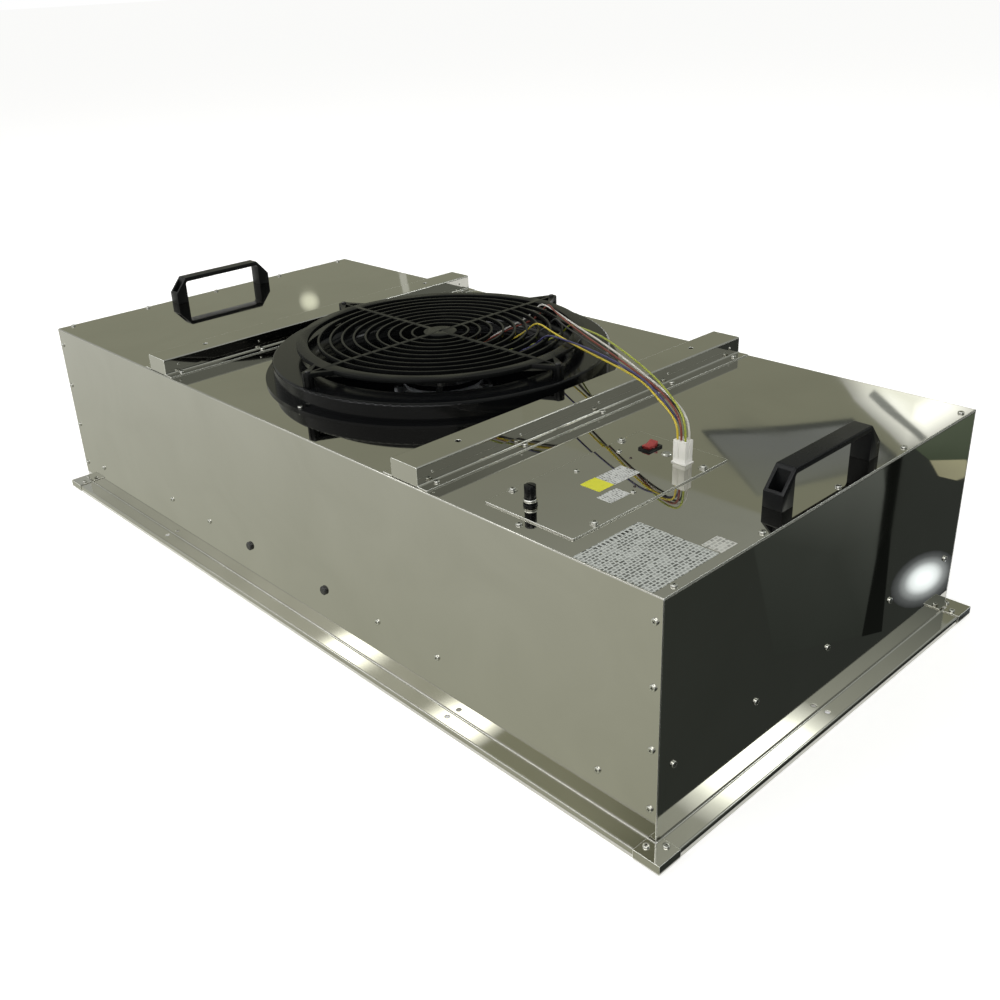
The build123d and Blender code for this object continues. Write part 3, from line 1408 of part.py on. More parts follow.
# ---------------------------------------------------------------- socket, plug and lamp
plug_foot = deck_z + SOCKET_RISE
spigot_l = PLUG_L - 2 * SOCKET_WALL - 2 * PLUG_PLAY
spigot_w = PLUG_W - 2 * SOCKET_WALL - 2 * PLUG_PLAY

with BuildPart() as connector_socket:
    with BuildSketch(Plane.XY.offset(cover_top)):
        with Locations((PLUG_X, PLUG_Y)):
            Rectangle(PLUG_W + 2 * SOCKET_RIM, PLUG_L + 2 * SOCKET_RIM)
    extrude(amount=SOCKET_RIM)
    with BuildSketch(Plane.XY.offset(deck_z - SOCKET_DEPTH)):
        with Locations((PLUG_X, PLUG_Y)):
            Rectangle(PLUG_W, PLUG_L)
    extrude(amount=SOCKET_DEPTH + SOCKET_RISE)
    with BuildSketch(Plane.XY.offset(plug_foot)):
        with Locations((PLUG_X, PLUG_Y)):
            Rectangle(PLUG_W - 2 * SOCKET_WALL, PLUG_L - 2 * SOCKET_WALL)
    extrude(amount=-SOCKET_DEPTH, mode=Mode.SUBTRACT)
connector_socket.part.label = "connector_socket"
export_step(connector_socket.part, "parts/connector_socket.step")

with BuildPart() as connector_plug:
    with BuildSketch(Plane.XY.offset(plug_foot)):
        with Locations((PLUG_X, PLUG_Y)):
            Rectangle(PLUG_W, PLUG_L)
            with Locations((0, -PLUG_L / 2), (0, PLUG_L / 2)):
                Rectangle(PLUG_GROOVE_W, 2 * PLUG_GROOVE, mode=Mode.SUBTRACT)
            with Locations((-PLUG_W / 2, 0), (PLUG_W / 2, 0)):
                Rectangle(2 * PLUG_GROOVE, PLUG_GROOVE_W, mode=Mode.SUBTRACT)
    extrude(amount=PLUG_H)
    with BuildSketch(Plane.XY.offset(plug_foot)):
        with Locations((PLUG_X, PLUG_Y)):
            Rectangle(spigot_w, spigot_l)
    extrude(amount=-SOCKET_DEPTH / 2)
connector_plug.part.label = "connector_plug"
export_step(connector_plug.part, "parts/connector_plug.step")

with BuildPart() as lamp_bezel:
    with BuildSketch(Plane.XY.offset(cover_top)):
        with Locations((LAMP_X, LAMP_Y)):
            Circle(LAMP_R)
            Circle(LAMP_BORE_R, mode=Mode.SUBTRACT)
    extrude(amount=LAMP_RISE)
    chamfer(lamp_bezel.edges().group_by(Axis.Z)[-1].sort_by(SortBy.RADIUS)[-1], LAMP_RISE / 2)
lamp_bezel.part.label = "lamp_bezel"
export_step(lamp_bezel.part, "parts/lamp_bezel.step")

with BuildPart() as lamp_lens:
    with BuildSketch(Plane.XY.offset(deck_z - BOARD_DROP)):
        with Locations((LAMP_X, LAMP_Y)):
            Circle(LAMP_BORE_R)
    extrude(amount=BOARD_DROP + COVER_T + LAMP_RISE)
    fillet(lamp_lens.edges().group_by(Axis.Z)[-1], LAMP_RISE / 2)
lamp_lens.part.label = "lamp_lens"
export_step(lamp_lens.part, "parts/lamp_lens.step")

# ---------------------------------------------------------------- motor leads
# Six free leads rise from the motor's outlet through the guard and dive into the plug.


def lead(name, points):
    """Lead along its route: straight runs joined by arcs as large as the runs allow."""
    runs = [Vector(*end) - Vector(*start) for start, end in zip(points, points[1:])]
    radii = []
    for run, next_run in zip(runs, runs[1:]):
        half_turn = math.radians(run.get_angle(next_run) / 2)
        radii.append(ROUTE_ROUND * min(run.length, next_run.length) / math.tan(half_turn))
    with BuildPart() as made:
        with BuildLine():
            route = FilletPolyline(*points, radius=radii)
        with BuildSketch(Plane(points[0], z_dir=runs[0])):
            Circle(WIRE_R)
        sweep(path=route)
    print(name, "length", round(route.length, 1), "least radius", round(min(radii), 1))
    return made.part


wire_yellow_route = [
    (39.4, -5.3, 250),
    (39.4, -5.3, 261.5),
    (43.5, 10, 273.5),
    (51, 40.5, 282),
    (59, 72.5, 285.5),
    (64.5, 89, 292.5),
    (75, 95, 303.5),
    (89.5, 91.5, 305.5),
    (113.5, 82, 304.5),
    (154, 64.5, 306),
    (194.5, 47, 308),
    (234.5, 30, 311),
    (275, 12, 314.5),
    (315, -6.5, 318),
    (351, -23.5, 318.5),
    (377, -37.5, 314),
    (402.5, -48.5, 308),
    (416.5, -55, 298.5),
    (416.5, -55, 286),
]
wire_yellow_lead = lead("wire_yellow", wire_yellow_route)

with BuildPart() as wire_yellow:
    add(wire_yellow_lead)
wire_yellow.part.label = "wire_yellow"
export_step(wire_yellow.part, "parts/wire_yellow.step")

wire_earth_route = [
    (41.9, 3.9, 250),
    (41.9, 3.9, 261),
    (52, 20.5, 270.5),
    (66.5, 46, 276.5),
    (82, 71.5, 280.5),
    (96.5, 97, 285),
    (106, 111.5, 292.5),
    (116.5, 114, 304),
    (129, 107.5, 309.5),
    (151, 94.5, 313),
    (186.5, 73.5, 320.5),
    (222.5, 53.5, 326),
    (259.5, 34, 328),
    (296.5, 14.5, 328.5),
    (333, -5.5, 328.5),
    (368.5, -24, 325.5),
    (394.5, -38.5, 320.5),
    (416.5, -50, 313),
    (426, -55, 298.5),
    (426, -55, 286),
]
wire_earth_lead = lead("wire_earth", wire_earth_route)

with BuildPart() as wire_earth:
    add(wire_earth_lead)
wire_earth.part.label = "wire_earth"
export_step(wire_earth.part, "parts/wire_earth.step")

wire_white_route = [
    (32.7, 1.4, 250),
    (32.7, 1.4, 261),
    (29, 19.5, 271.5),
    (24.5, 49, 278),
    (19.5, 78.5, 282),
    (14.5, 108.5, 284.5),
    (11, 139, 285.5),
    (11, 156.5, 292),
    (20, 161.5, 303.5),
    (34, 156.5, 306),
    (58, 147.5, 306),
    (95.5, 124.5, 309.5),
    (132.5, 100.5, 314.5),
    (170.5, 78, 318),
    (210, 58, 320),
    (249.5, 37.5, 321.5),
    (288.5, 17.5, 322),
    (328, -3, 321.5),
    (363.5, -21, 320.5),
    (390.5, -34, 318),
    (415, -44, 311.5),
    (426, -49, 298.5),
    (426, -49, 286),
]
wire_white_lead = lead("wire_white", wire_white_route)

with BuildPart() as wire_white:
    add(wire_white_lead)
wire_white.part.label = "wire_white"
export_step(wire_white.part, "parts/wire_white.step")

wire_blue_route = [
    (43.3, -1.4, 250),
    (43.3, -1.4, 261.5),
    (56, 8.5, 272),
    (77.5, 28, 279),
    (99.5, 48, 284.5),
    (112, 59, 292.5),
    (124, 61, 304),
    (137.5, 57, 309),
    (161.5, 47.5, 313),
    (198.5, 33, 318),
    (236.5, 18.5, 322),
    (274, 4, 324.5),
    (312, -10, 325),
    (349, -24.5, 324),
    (376.5, -34.5, 316.5),
    (401, -44, 307),
    (416.5, -49, 298.5),
    (416.5, -49, 286),
]
wire_blue_lead = lead("wire_blue", wire_blue_route)

with BuildPart() as wire_blue:
    add(wire_blue_lead)
wire_blue.part.label = "wire_blue"
export_step(wire_blue.part, "parts/wire_blue.step")

wire_brown_route = [
    (34.1, -3.9, 250),
    (34.1, -3.9, 262),
    (32.5, 10.5, 274),
    (30, 42, 281),
    (28, 74.5, 284.5),
    (26, 107, 286.5),
    (23.5, 139.5, 286),
    (23.5, 157, 292),
    (32, 161, 304),
    (44.5, 154.5, 308.5),
    (66, 140, 308),
    (101.5, 116.5, 311),
    (136.5, 93.5, 314.5),
    (173.5, 73, 316),
    (211, 53.5, 317),
    (249, 34.5, 318.5),
    (287, 15.5, 319),
    (324.5, -4, 319.5),
    (359.5, -23, 320.5),
    (386.5, -35.5, 317),
    (410, -48.5, 310.5),
    (421, -55, 298.5),
    (421, -55, 286),
]
wire_brown_lead = lead("wire_brown", wire_brown_route)

with BuildPart() as wire_brown:
    add(wire_brown_lead)
wire_brown.part.label = "wire_brown"
export_step(wire_brown.part, "parts/wire_brown.step")

wire_black_route = [
    (36.6, 5.3, 250),
    (36.6, 5.3, 261),
    (42, 24.5, 269.5),
    (49.5, 51, 275),
    (57.5, 77.5, 279),
    (66, 103.5, 284.5),
    (72, 119.5, 292.5),
    (82.5, 123.5, 304),
    (95, 116, 307),
    (117, 102, 307.5),
    (156.5, 79.5, 311.5),
    (196.5, 57.5, 313.5),
    (238, 37.5, 315),
    (279, 17, 316),
    (320, -4, 316),
    (356.5, -19.5, 317),
    (384.5, -30.5, 315),
    (409, -42.5, 310),
    (421, -49, 298.5),
    (421, -49, 286),
]
wire_black_lead = lead("wire_black", wire_black_route)

with BuildPart() as wire_black:
    add(wire_black_lead)
wire_black.part.label = "wire_black"
export_step(wire_black.part, "parts/wire_black.step")
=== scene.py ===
import math
import random

import bpy
from mathutils import Matrix, Vector


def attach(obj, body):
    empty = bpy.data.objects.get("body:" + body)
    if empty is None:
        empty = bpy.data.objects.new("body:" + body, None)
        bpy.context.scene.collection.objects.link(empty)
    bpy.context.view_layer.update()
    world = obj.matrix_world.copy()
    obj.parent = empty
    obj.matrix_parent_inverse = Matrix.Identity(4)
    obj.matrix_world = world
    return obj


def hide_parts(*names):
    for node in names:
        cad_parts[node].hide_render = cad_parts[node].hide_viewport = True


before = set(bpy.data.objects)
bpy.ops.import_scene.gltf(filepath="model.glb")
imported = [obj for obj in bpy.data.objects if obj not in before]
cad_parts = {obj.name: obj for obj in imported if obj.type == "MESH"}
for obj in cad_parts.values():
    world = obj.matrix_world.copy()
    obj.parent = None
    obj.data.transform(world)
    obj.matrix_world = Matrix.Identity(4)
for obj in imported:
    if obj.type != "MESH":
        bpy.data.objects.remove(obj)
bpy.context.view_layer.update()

# ---------------------------------------------------------------- camera
# A person stands at the right front corner of the unit and looks down across its deck.
bpy.ops.object.select_all(action="DESELECT")
bpy.ops.object.camera_add(
    location=(1.0190, -0.8609, 0.7108),
    rotation=(math.radians(64.959), math.radians(2.802), math.radians(47.615)),
)
camera = bpy.context.object
camera.name = "camera"
camera.data.sensor_width = 36.0
camera.data.lens = 39.18
camera.data.shift_x = 0.0354
camera.data.shift_y = -0.0179
camera.data.clip_start = 0.01
bpy.context.scene.camera = camera

# ---------------------------------------------------------------- motor leads
# Six stranded copper leads in thin PVC, limp and about 2 mm thick. They leave the motor
# through its cable boss, come up between the bars of the guard and are crimped in the plug.
LEAD_THICK = 0.0022
DRAG_PER_METRE = 420.0  # marks of the extruder's die, every 2.4 mm so that they show


def linear(code):
    """Linear colour of an sRGB hex code."""
    parts = [int(code[place : place + 2], 16) / 255 for place in (1, 3, 5)]
    return [p / 12.92 if p <= 0.04045 else ((p + 0.055) / 1.055) ** 2.4 for p in parts] + [1.0]


def new_material(name):
    """A material and its shader."""
    material = bpy.data.materials.new(name)
    material.use_nodes = True
    return material, material.node_tree.nodes["Principled BSDF"]


def add_node(material, kind, inputs, **settings):
    """Adds a node, or takes one that is there, with its settings, input values and links."""
    tree = material.node_tree
    node = tree.nodes.new(kind) if isinstance(kind, str) else kind
    for name, value in settings.items():
        setattr(node, name, value)
    for socket, value in inputs.items():
        if isinstance(value, bpy.types.NodeSocket):
            tree.links.new(value, node.inputs[socket])
        else:
            node.inputs[socket].default_value = value
    return node


def pvc(name, base, streak):
    """Extruded PVC sleeving: an even colour, a soft satin gloss and a faint drag along it."""
    material, shader = new_material(name)
    place = add_node(material, "ShaderNodeTexCoord", {})
    drag = add_node(
        material,
        "ShaderNodeTexNoise",
        {"Vector": place.outputs["Object"], "Scale": DRAG_PER_METRE, "Detail": 2.0},
    )
    tone = add_node(
        material,
        "ShaderNodeMix",
        {"Factor": drag.outputs["Fac"], "A": linear(base), "B": linear(streak)},
        data_type="RGBA",
    )
    gloss = add_node(
        material,
        "ShaderNodeMapRange",
        {"Value": drag.outputs["Fac"], "To Min": 0.32, "To Max": 0.5},
    )
    ripple = add_node(
        material,
        "ShaderNodeBump",
        {"Height": drag.outputs["Fac"], "Strength": 0.08, "Distance": 0.0003},
    )
    add_node(
        material,
        shader,
        {
            "Base Color": tone.outputs["Result"],
            "Roughness": gloss.outputs["Result"],
            "Normal": ripple.outputs["Normal"],
            "IOR": 1.53,
        },
    )
    return material


def lead(colour, material, route):
    """One lead along its route, sleeved in its colour."""
    curve = bpy.data.curves.new("lead_" + colour, "CURVE")
    curve.dimensions = "3D"
    spline = curve.splines.new("NURBS")
    spline.points.add(len(route) - 1)
    for point, place in zip(spline.points, route):
        point.co = (*place, 1.0)
    spline.order_u = 3
    spline.use_endpoint_u = True
    curve.resolution_u = 10
    curve.bevel_depth = LEAD_THICK / 2
    curve.bevel_resolution = 3
    curve.use_fill_caps = True
    curve.materials.append(material)
    piece = bpy.data.objects.new("lead_" + colour, curve)
    bpy.context.collection.objects.link(piece)
    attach(piece, "unit")
    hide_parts("wire_" + colour)
    return piece


yellow_route = [
    (0.0394, -0.0053, 0.25), (0.0394, -0.0053, 0.2615), (0.0435, 0.01, 0.2735),
    (0.051, 0.0405, 0.282), (0.059, 0.0725, 0.2855), (0.0645, 0.089, 0.2925),
    (0.075, 0.095, 0.3035), (0.0895, 0.0915, 0.3055), (0.1135, 0.082, 0.3045),
    (0.154, 0.0645, 0.306), (0.1945, 0.047, 0.308), (0.2345, 0.03, 0.311), (0.275, 0.012, 0.3145),
    (0.315, -0.0065, 0.318), (0.351, -0.0235, 0.3185), (0.377, -0.0375, 0.314),
    (0.4025, -0.0485, 0.308), (0.4165, -0.055, 0.2985), (0.4165, -0.055, 0.286),
]

earth_route = [
    (0.0419, 0.0039, 0.25), (0.0419, 0.0039, 0.261), (0.052, 0.0205, 0.2705),
    (0.0665, 0.046, 0.2765), (0.082, 0.0715, 0.2805), (0.0965, 0.097, 0.285),
    (0.106, 0.1115, 0.2925), (0.1165, 0.114, 0.304), (0.129, 0.1075, 0.3095),
    (0.151, 0.0945, 0.313), (0.1865, 0.0735, 0.3205), (0.2225, 0.0535, 0.326),
    (0.2595, 0.034, 0.328), (0.2965, 0.0145, 0.3285), (0.333, -0.0055, 0.3285),
    (0.3685, -0.024, 0.3255), (0.3945, -0.0385, 0.3205), (0.4165, -0.05, 0.313),
    (0.426, -0.055, 0.2985), (0.426, -0.055, 0.286),
]

white_route = [
    (0.0327, 0.0014, 0.25), (0.0327, 0.0014, 0.261), (0.029, 0.0195, 0.2715),
    (0.0245, 0.049, 0.278), (0.0195, 0.0785, 0.282), (0.0145, 0.1085, 0.2845),
    (0.011, 0.139, 0.2855), (0.011, 0.1565, 0.292), (0.02, 0.1615, 0.3035), (0.034, 0.1565, 0.306),
    (0.058, 0.1475, 0.306), (0.0955, 0.1245, 0.3095), (0.1325, 0.1005, 0.3145),
    (0.1705, 0.078, 0.318), (0.21, 0.058, 0.32), (0.2495, 0.0375, 0.3215), (0.2885, 0.0175, 0.322),
    (0.328, -0.003, 0.3215), (0.3635, -0.021, 0.3205), (0.3905, -0.034, 0.318),
    (0.415, -0.044, 0.3115), (0.426, -0.049, 0.2985), (0.426, -0.049, 0.286),
]

blue_route = [
    (0.0433, -0.0014, 0.25), (0.0433, -0.0014, 0.2615), (0.056, 0.0085, 0.272),
    (0.0775, 0.028, 0.279), (0.0995, 0.048, 0.2845), (0.112, 0.059, 0.2925), (0.124, 0.061, 0.304),
    (0.1375, 0.057, 0.309), (0.1615, 0.0475, 0.313), (0.1985, 0.033, 0.318),
    (0.2365, 0.0185, 0.322), (0.274, 0.004, 0.3245), (0.312, -0.01, 0.325),
    (0.349, -0.0245, 0.324), (0.3765, -0.0345, 0.3165), (0.401, -0.044, 0.307),
    (0.4165, -0.049, 0.2985), (0.4165, -0.049, 0.286),
]

brown_route = [
    (0.0341, -0.0039, 0.25), (0.0341, -0.0039, 0.262), (0.0325, 0.0105, 0.274),
    (0.03, 0.042, 0.281), (0.028, 0.0745, 0.2845), (0.026, 0.107, 0.2865), (0.0235, 0.1395, 0.286),
    (0.0235, 0.157, 0.292), (0.032, 0.161, 0.304), (0.0445, 0.1545, 0.3085), (0.066, 0.14, 0.308),
    (0.1015, 0.1165, 0.311), (0.1365, 0.0935, 0.3145), (0.1735, 0.073, 0.316),
    (0.211, 0.0535, 0.317), (0.249, 0.0345, 0.3185), (0.287, 0.0155, 0.319),
    (0.3245, -0.004, 0.3195), (0.3595, -0.023, 0.3205), (0.3865, -0.0355, 0.317),
    (0.41, -0.0485, 0.3105), (0.421, -0.055, 0.2985), (0.421, -0.055, 0.286),
]

black_route = [
    (0.0366, 0.0053, 0.25), (0.0366, 0.0053, 0.261), (0.042, 0.0245, 0.2695),
    (0.0495, 0.051, 0.275), (0.0575, 0.0775, 0.279), (0.066, 0.1035, 0.2845),
    (0.072, 0.1195, 0.2925), (0.0825, 0.1235, 0.304), (0.095, 0.116, 0.307),
    (0.117, 0.102, 0.3075), (0.1565, 0.0795, 0.3115), (0.1965, 0.0575, 0.3135),
    (0.238, 0.0375, 0.315), (0.279, 0.017, 0.316), (0.32, -0.004, 0.316), (0.3565, -0.0195, 0.317),
    (0.3845, -0.0305, 0.315), (0.409, -0.0425, 0.31), (0.421, -0.049, 0.2985),
    (0.421, -0.049, 0.286),
]

leads = (
    ("yellow", 0.5183, yellow_route, pvc("yellow PVC", "#dfcb35", "#cdb221"), "pvc_yellow"),
    ("earth", 0.5299, earth_route, pvc("green and yellow PVC", "#c9c231", "#5f8a34"), "pvc_green"),
    ("white", 0.6617, white_route, pvc("white PVC", "#e9e8e0", "#cfcdc4"), "pvc_white"),
    ("blue", 0.4543, blue_route, pvc("blue PVC", "#3d3a70", "#2c2a58"), "pvc_blue"),
    ("brown", 0.6549, brown_route, pvc("brown PVC", "#8b3626", "#6b2a1c"), "pvc_brown"),
    ("black", 0.5455, black_route, pvc("black PVC", "#1d1d1f", "#2b2b2d"), "pvc_black"),
)
for colour, length, route, sleeve, slot in leads:
    lead(colour, sleeve, route)

# ---------------------------------------------------------------- casing
# Folded from mirror-polished stainless sheet, 1.2 mm thick: a deck with two long walls, an end
# panel at each end and four corner plates on the base flange, all held by small pan screws.

# Mirror polish shows its surroundings almost sharply, with a faint drag of the polishing wheel
# along the sheet, wide soft dents between the folds, and hand smears that dull it in places.
steel, shader = new_material("mirror-polished stainless steel")
place = add_node(steel, "ShaderNodeTexCoord", {})
along = add_node(
    steel,
    "ShaderNodeMapping",
    {"Vector": place.outputs["Object"], "Scale": (3.0, 260.0, 260.0)},
)
drag = add_node(
    steel,
    "ShaderNodeTexNoise",
    {"Vector": along.outputs["Vector"], "Scale": 3.0, "Detail": 6.0, "Roughness": 0.7},
)
smear = add_node(
    steel,
    "ShaderNodeTexNoise",
    {"Vector": place.outputs["Object"], "Scale": 9.0, "Detail": 5.0, "Distortion": 0.6},
)
cloud = add_node(
    steel,
    "ShaderNodeMapRange",
    {"Value": smear.outputs["Fac"], "From Min": 0.5, "From Max": 0.75, "To Max": 0.03},
)
DRAG_HAZE = 0.035  # roughness that the wheel's drag adds
LEAST_HAZE = 0.012  # roughness of the cleanest polish
gloss = add_node(
    steel,
    "ShaderNodeMath",
    {0: drag.outputs["Fac"], 1: DRAG_HAZE, 2: cloud.outputs["Result"]},
    operation="MULTIPLY_ADD",
)
gloss_floor = add_node(
    steel, "ShaderNodeMath", {0: gloss.outputs["Value"], 1: LEAST_HAZE}, operation="ADD"
)
tone = add_node(
    steel,
    "ShaderNodeMix",
    {"Factor": smear.outputs["Fac"], "A": linear("#bdbcb5"), "B": linear("#aeada5")},
    data_type="RGBA",
)
dent = add_node(
    steel,
    "ShaderNodeTexNoise",
    {"Vector": place.outputs["Object"], "Scale": 5.0, "Detail": 1.0},
)
waves = add_node(
    steel,
    "ShaderNodeBump",
    {"Height": dent.outputs["Fac"], "Strength": 0.25, "Distance": 0.0004},
)
# Along a fold a thin line is painted brighter than the face, a painted highlight where the fold
# would gleam, and made duller.
FOLD_HIGHLIGHT_REACH = 0.0010
edge = add_node(
    steel,
    "ShaderNodeBevel",
    {"Radius": FOLD_HIGHLIGHT_REACH, "Normal": waves.outputs["Normal"]},
    samples=8,
)
face = add_node(steel, "ShaderNodeNewGeometry", {})
turned_over = add_node(
    steel,
    "ShaderNodeVectorMath",
    {0: edge.outputs["Normal"], 1: face.outputs["Normal"]},
    operation="DOT_PRODUCT",
)
fold_highlight_mask = add_node(
    steel,
    "ShaderNodeMapRange",
    {
        "Value": turned_over.outputs["Value"],
        "From Min": 0.995,
        "From Max": 0.93,
        "To Max": 0.9,
    },
)
# The line's colour is lifted to near white there: a painted highlight along folds and sheet edges.
fold_highlight_tone = add_node(
    steel,
    "ShaderNodeMix",
    {"Factor": fold_highlight_mask.outputs["Result"], "A": tone.outputs["Result"], "B": linear("#fbfbf6")},
    data_type="RGBA",
)
folded_gloss = add_node(
    steel,
    "ShaderNodeMix",
    {"Factor": fold_highlight_mask.outputs["Result"], "A": gloss_floor.outputs["Value"], "B": 0.4},
)
add_node(
    steel,
    shader,
    {
        "Base Color": fold_highlight_tone.outputs["Result"],
        "Metallic": 1.0,
        "Roughness": folded_gloss.outputs["Result"],
        "Normal": edge.outputs["Normal"],
    },
)


def dress(material, *names):
    """Gives CAD nodes their material."""
    for name in names:
        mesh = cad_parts[name].data
        mesh.materials.clear()
        mesh.materials.append(material)


dress(steel, "casing_shell", "end_panel_right", "end_panel_left")
dress(steel, "corner_plate_front_left", "corner_plate_front_right")
dress(steel, "corner_plate_back_left", "corner_plate_back_right")

# ---------------------------------------------------------------- screws
# Bright pan-head screws with a cross recess, M3.5 or so, through the casing sheet. Each is
# turned home by hand, so the crosses stand at any angle.

# Bright zinc is silvery, with a fine grain under the plate that softens what it reflects.
bright, shader = new_material("bright zinc-plated steel")
place = add_node(bright, "ShaderNodeTexCoord", {})
turn = add_node(
    bright,
    "ShaderNodeTexNoise",
    {"Vector": place.outputs["Object"], "Scale": 1500.0, "Detail": 2.0},
)
plate = add_node(
    bright,
    "ShaderNodeMapRange",
    {"Value": turn.outputs["Fac"], "To Min": 0.12, "To Max": 0.3},
)
silver = add_node(
    bright,
    "ShaderNodeMix",
    {"Factor": turn.outputs["Fac"], "A": linear("#cfcfc9"), "B": linear("#b4b4ae")},
    data_type="RGBA",
)
add_node(
    bright,
    shader,
    {
        "Base Color": silver.outputs["Result"],
        "Metallic": 1.0,
        "Roughness": plate.outputs["Result"],
    },
)

# The cross recess is painted dark and without gloss: painted shade, where the recess would fall
# into shadow.
painted_recess_shade, shader = new_material("painted shade in a screw recess")
place = add_node(painted_recess_shade, "ShaderNodeTexCoord", {})
recess_speckle = add_node(
    painted_recess_shade,
    "ShaderNodeTexNoise",
    {"Vector": place.outputs["Object"], "Scale": 3000.0},
)
recess_shade_tone = add_node(
    painted_recess_shade,
    "ShaderNodeMix",
    {"Factor": recess_speckle.outputs["Fac"], "A": linear("#22221f"), "B": linear("#3b3a35")},
    data_type="RGBA",
)
add_node(painted_recess_shade, shader, {"Base Color": recess_shade_tone.outputs["Result"], "Roughness": 0.7})


def apply_all(piece):
    """Applies the piece's modifiers, from the first to the last."""
    bpy.context.view_layer.objects.active = piece
    for modifier in list(piece.modifiers):
        bpy.ops.object.modifier_apply(modifier=modifier.name)


def pick_faces(piece, test):
    """In edit mode, selects the faces whose normal passes a test."""
    bpy.ops.mesh.select_mode(type="FACE")
    bpy.ops.mesh.select_all(action="DESELECT")
    bpy.ops.object.mode_set(mode="OBJECT")
    for face in piece.data.polygons:
        face.select = test(face.normal)
    bpy.ops.object.mode_set(mode="EDIT")


def upward(normal):
    """True for a face that looks up."""
    return normal.z > 0.9


def downward(normal):
    """True for a face that looks down."""
    return normal.z < -0.9


def screw_head(name, head_r, head_h, shank_r, shank_l, skin):
    """Pan head with a cross recess on a plain shank, its seat at the origin."""
    bpy.ops.object.select_all(action="DESELECT")
    bpy.ops.mesh.primitive_cylinder_add(
        vertices=20, radius=head_r, depth=head_h, location=(0, 0, head_h / 2)
    )
    head = bpy.context.object
    head.name = name
    bpy.ops.object.transform_apply(location=True, rotation=False, scale=False)
    bpy.ops.object.mode_set(mode="EDIT")
    pick_faces(head, downward)
    bpy.ops.mesh.inset(thickness=head_r - shank_r, depth=0.0)
    bpy.ops.mesh.extrude_region_move(TRANSFORM_OT_translate={"value": (0, 0, -shank_l)})
    pick_faces(head, upward)
    bpy.ops.mesh.bevel(offset=0.45 * head_h, segments=3, affect="EDGES")
    bpy.ops.object.mode_set(mode="OBJECT")
    for wide, deep in ((0.62, 0.15), (0.15, 0.62)):
        bpy.ops.object.select_all(action="DESELECT")
        bpy.ops.mesh.primitive_cube_add(size=2.0, location=(0, 0, head_h))
        cutter = bpy.context.object
        cutter.scale = (wide * head_r, deep * head_r, 0.5 * head_h)
        bpy.ops.object.transform_apply(location=True, rotation=False, scale=True)
        bpy.ops.object.mode_set(mode="EDIT")
        pick_faces(cutter, downward)
        bpy.ops.transform.resize(value=(0.6, 0.6, 1.0), center_override=(0, 0, head_h))
        bpy.ops.object.mode_set(mode="OBJECT")
        cut = head.modifiers.new("recess", "BOOLEAN")
        cut.object = cutter
        apply_all(head)
        bpy.data.objects.remove(cutter)
    head.data.materials.append(skin)
    # Faces inside the cross recess take the painted shade.
    head.data.materials.append(painted_recess_shade)
    for face in head.data.polygons:
        inside = math.hypot(face.center.x, face.center.y) < 0.55 * head_r
        face.material_index = int(inside and 0.4 * head_h < face.center.z < 0.97 * head_h)
    bpy.ops.object.select_all(action="DESELECT")
    head.select_set(True)
    bpy.ops.object.shade_smooth_by_angle(angle=math.radians(40))
    return head


def drive(pattern, name, node, seats, turned=True):
    """Copies of a pattern at its seats, each a place and an outward direction, as one piece."""
    copies = []
    for spot, out in seats:
        copy = bpy.data.objects.new(name, pattern.data.copy())
        bpy.context.collection.objects.link(copy)
        twist = Matrix.Rotation(random.uniform(0, math.pi) if turned else 0.0, 4, "Z")
        facing = Vector(out).to_track_quat("Z", "Y").to_matrix().to_4x4()
        copy.data.transform(Matrix.Translation(spot) @ facing @ twist)
        copies.append(copy)
    bpy.ops.object.select_all(action="DESELECT")
    for copy in copies:
        copy.select_set(True)
    bpy.context.view_layer.objects.active = copies[0]
    bpy.ops.object.join()
    piece = bpy.context.object
    piece.name = name
    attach(piece, "unit")
    if node:
        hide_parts(node)
    return piece


random.seed(11)
HALF_L = 0.5675  # half the length over the end panels
HALF_W = 0.2675  # half the width over the long walls
DECK = 0.260  # top of the deck
PAN_R = 0.0034
PAN_H = 0.0020
SHANK_R = 0.0019
SHANK_L = 0.0050
WALL_X = 0.560  # upright rows at the ends of the long walls
WALL_FIRST_Z = 0.044
WALL_PITCH_Z = 0.064
END_Z = 0.085  # row across an end panel
DECK_X = 0.561  # rows across the ends of the deck
PLATE_TOP = 0.0112
PLATE_IN = 0.0025  # corner plate screws, in from the corner of the casing
PLATE_OUT = 0.010  # and out from its wall
RAIL_FOOT = 0.2612  # top of the rails' flanges
RING_REACH = 0.2313  # radius that the inlet ring needs clear
RING_SCREW_R = 0.2195
RING_FOOT = 0.263  # top of the ring's screw flange
rows = (-0.246, -0.123, 0.0, 0.123, 0.246)
pan_head = screw_head("pan_head", PAN_R, PAN_H, SHANK_R, SHANK_L, bright)
wall_seats = [
    ((end * WALL_X, side * HALF_W, WALL_FIRST_Z + row * WALL_PITCH_Z), (0, side, 0))
    for end in (-1, 1)
    for side in (-1, 1)
    for row in range(4)
]
wall_seats += [
    ((end * x, side * HALF_W, z), (0, side, 0))
    for end in (-1, 1)
    for side in (-1, 1)
    for x, z in ((0.180, 0.070), (0.280, 0.070), (0.500, 0.052))  # filter seat and clamps
]
end_seats = [((end * HALF_L, y, END_Z), (end, 0, 0)) for end in (-1, 1) for y in rows]
deck_seats = [((end * DECK_X, y, DECK), (0, 0, 1)) for end in (-1, 1) for y in rows]
deck_seats.append(((0.394, -0.254, DECK), (0, 0, 1)))  # in front of the electrical cover
drive(pan_head, "casing_pan_screws", "casing_screws", wall_seats + end_seats + deck_seats)
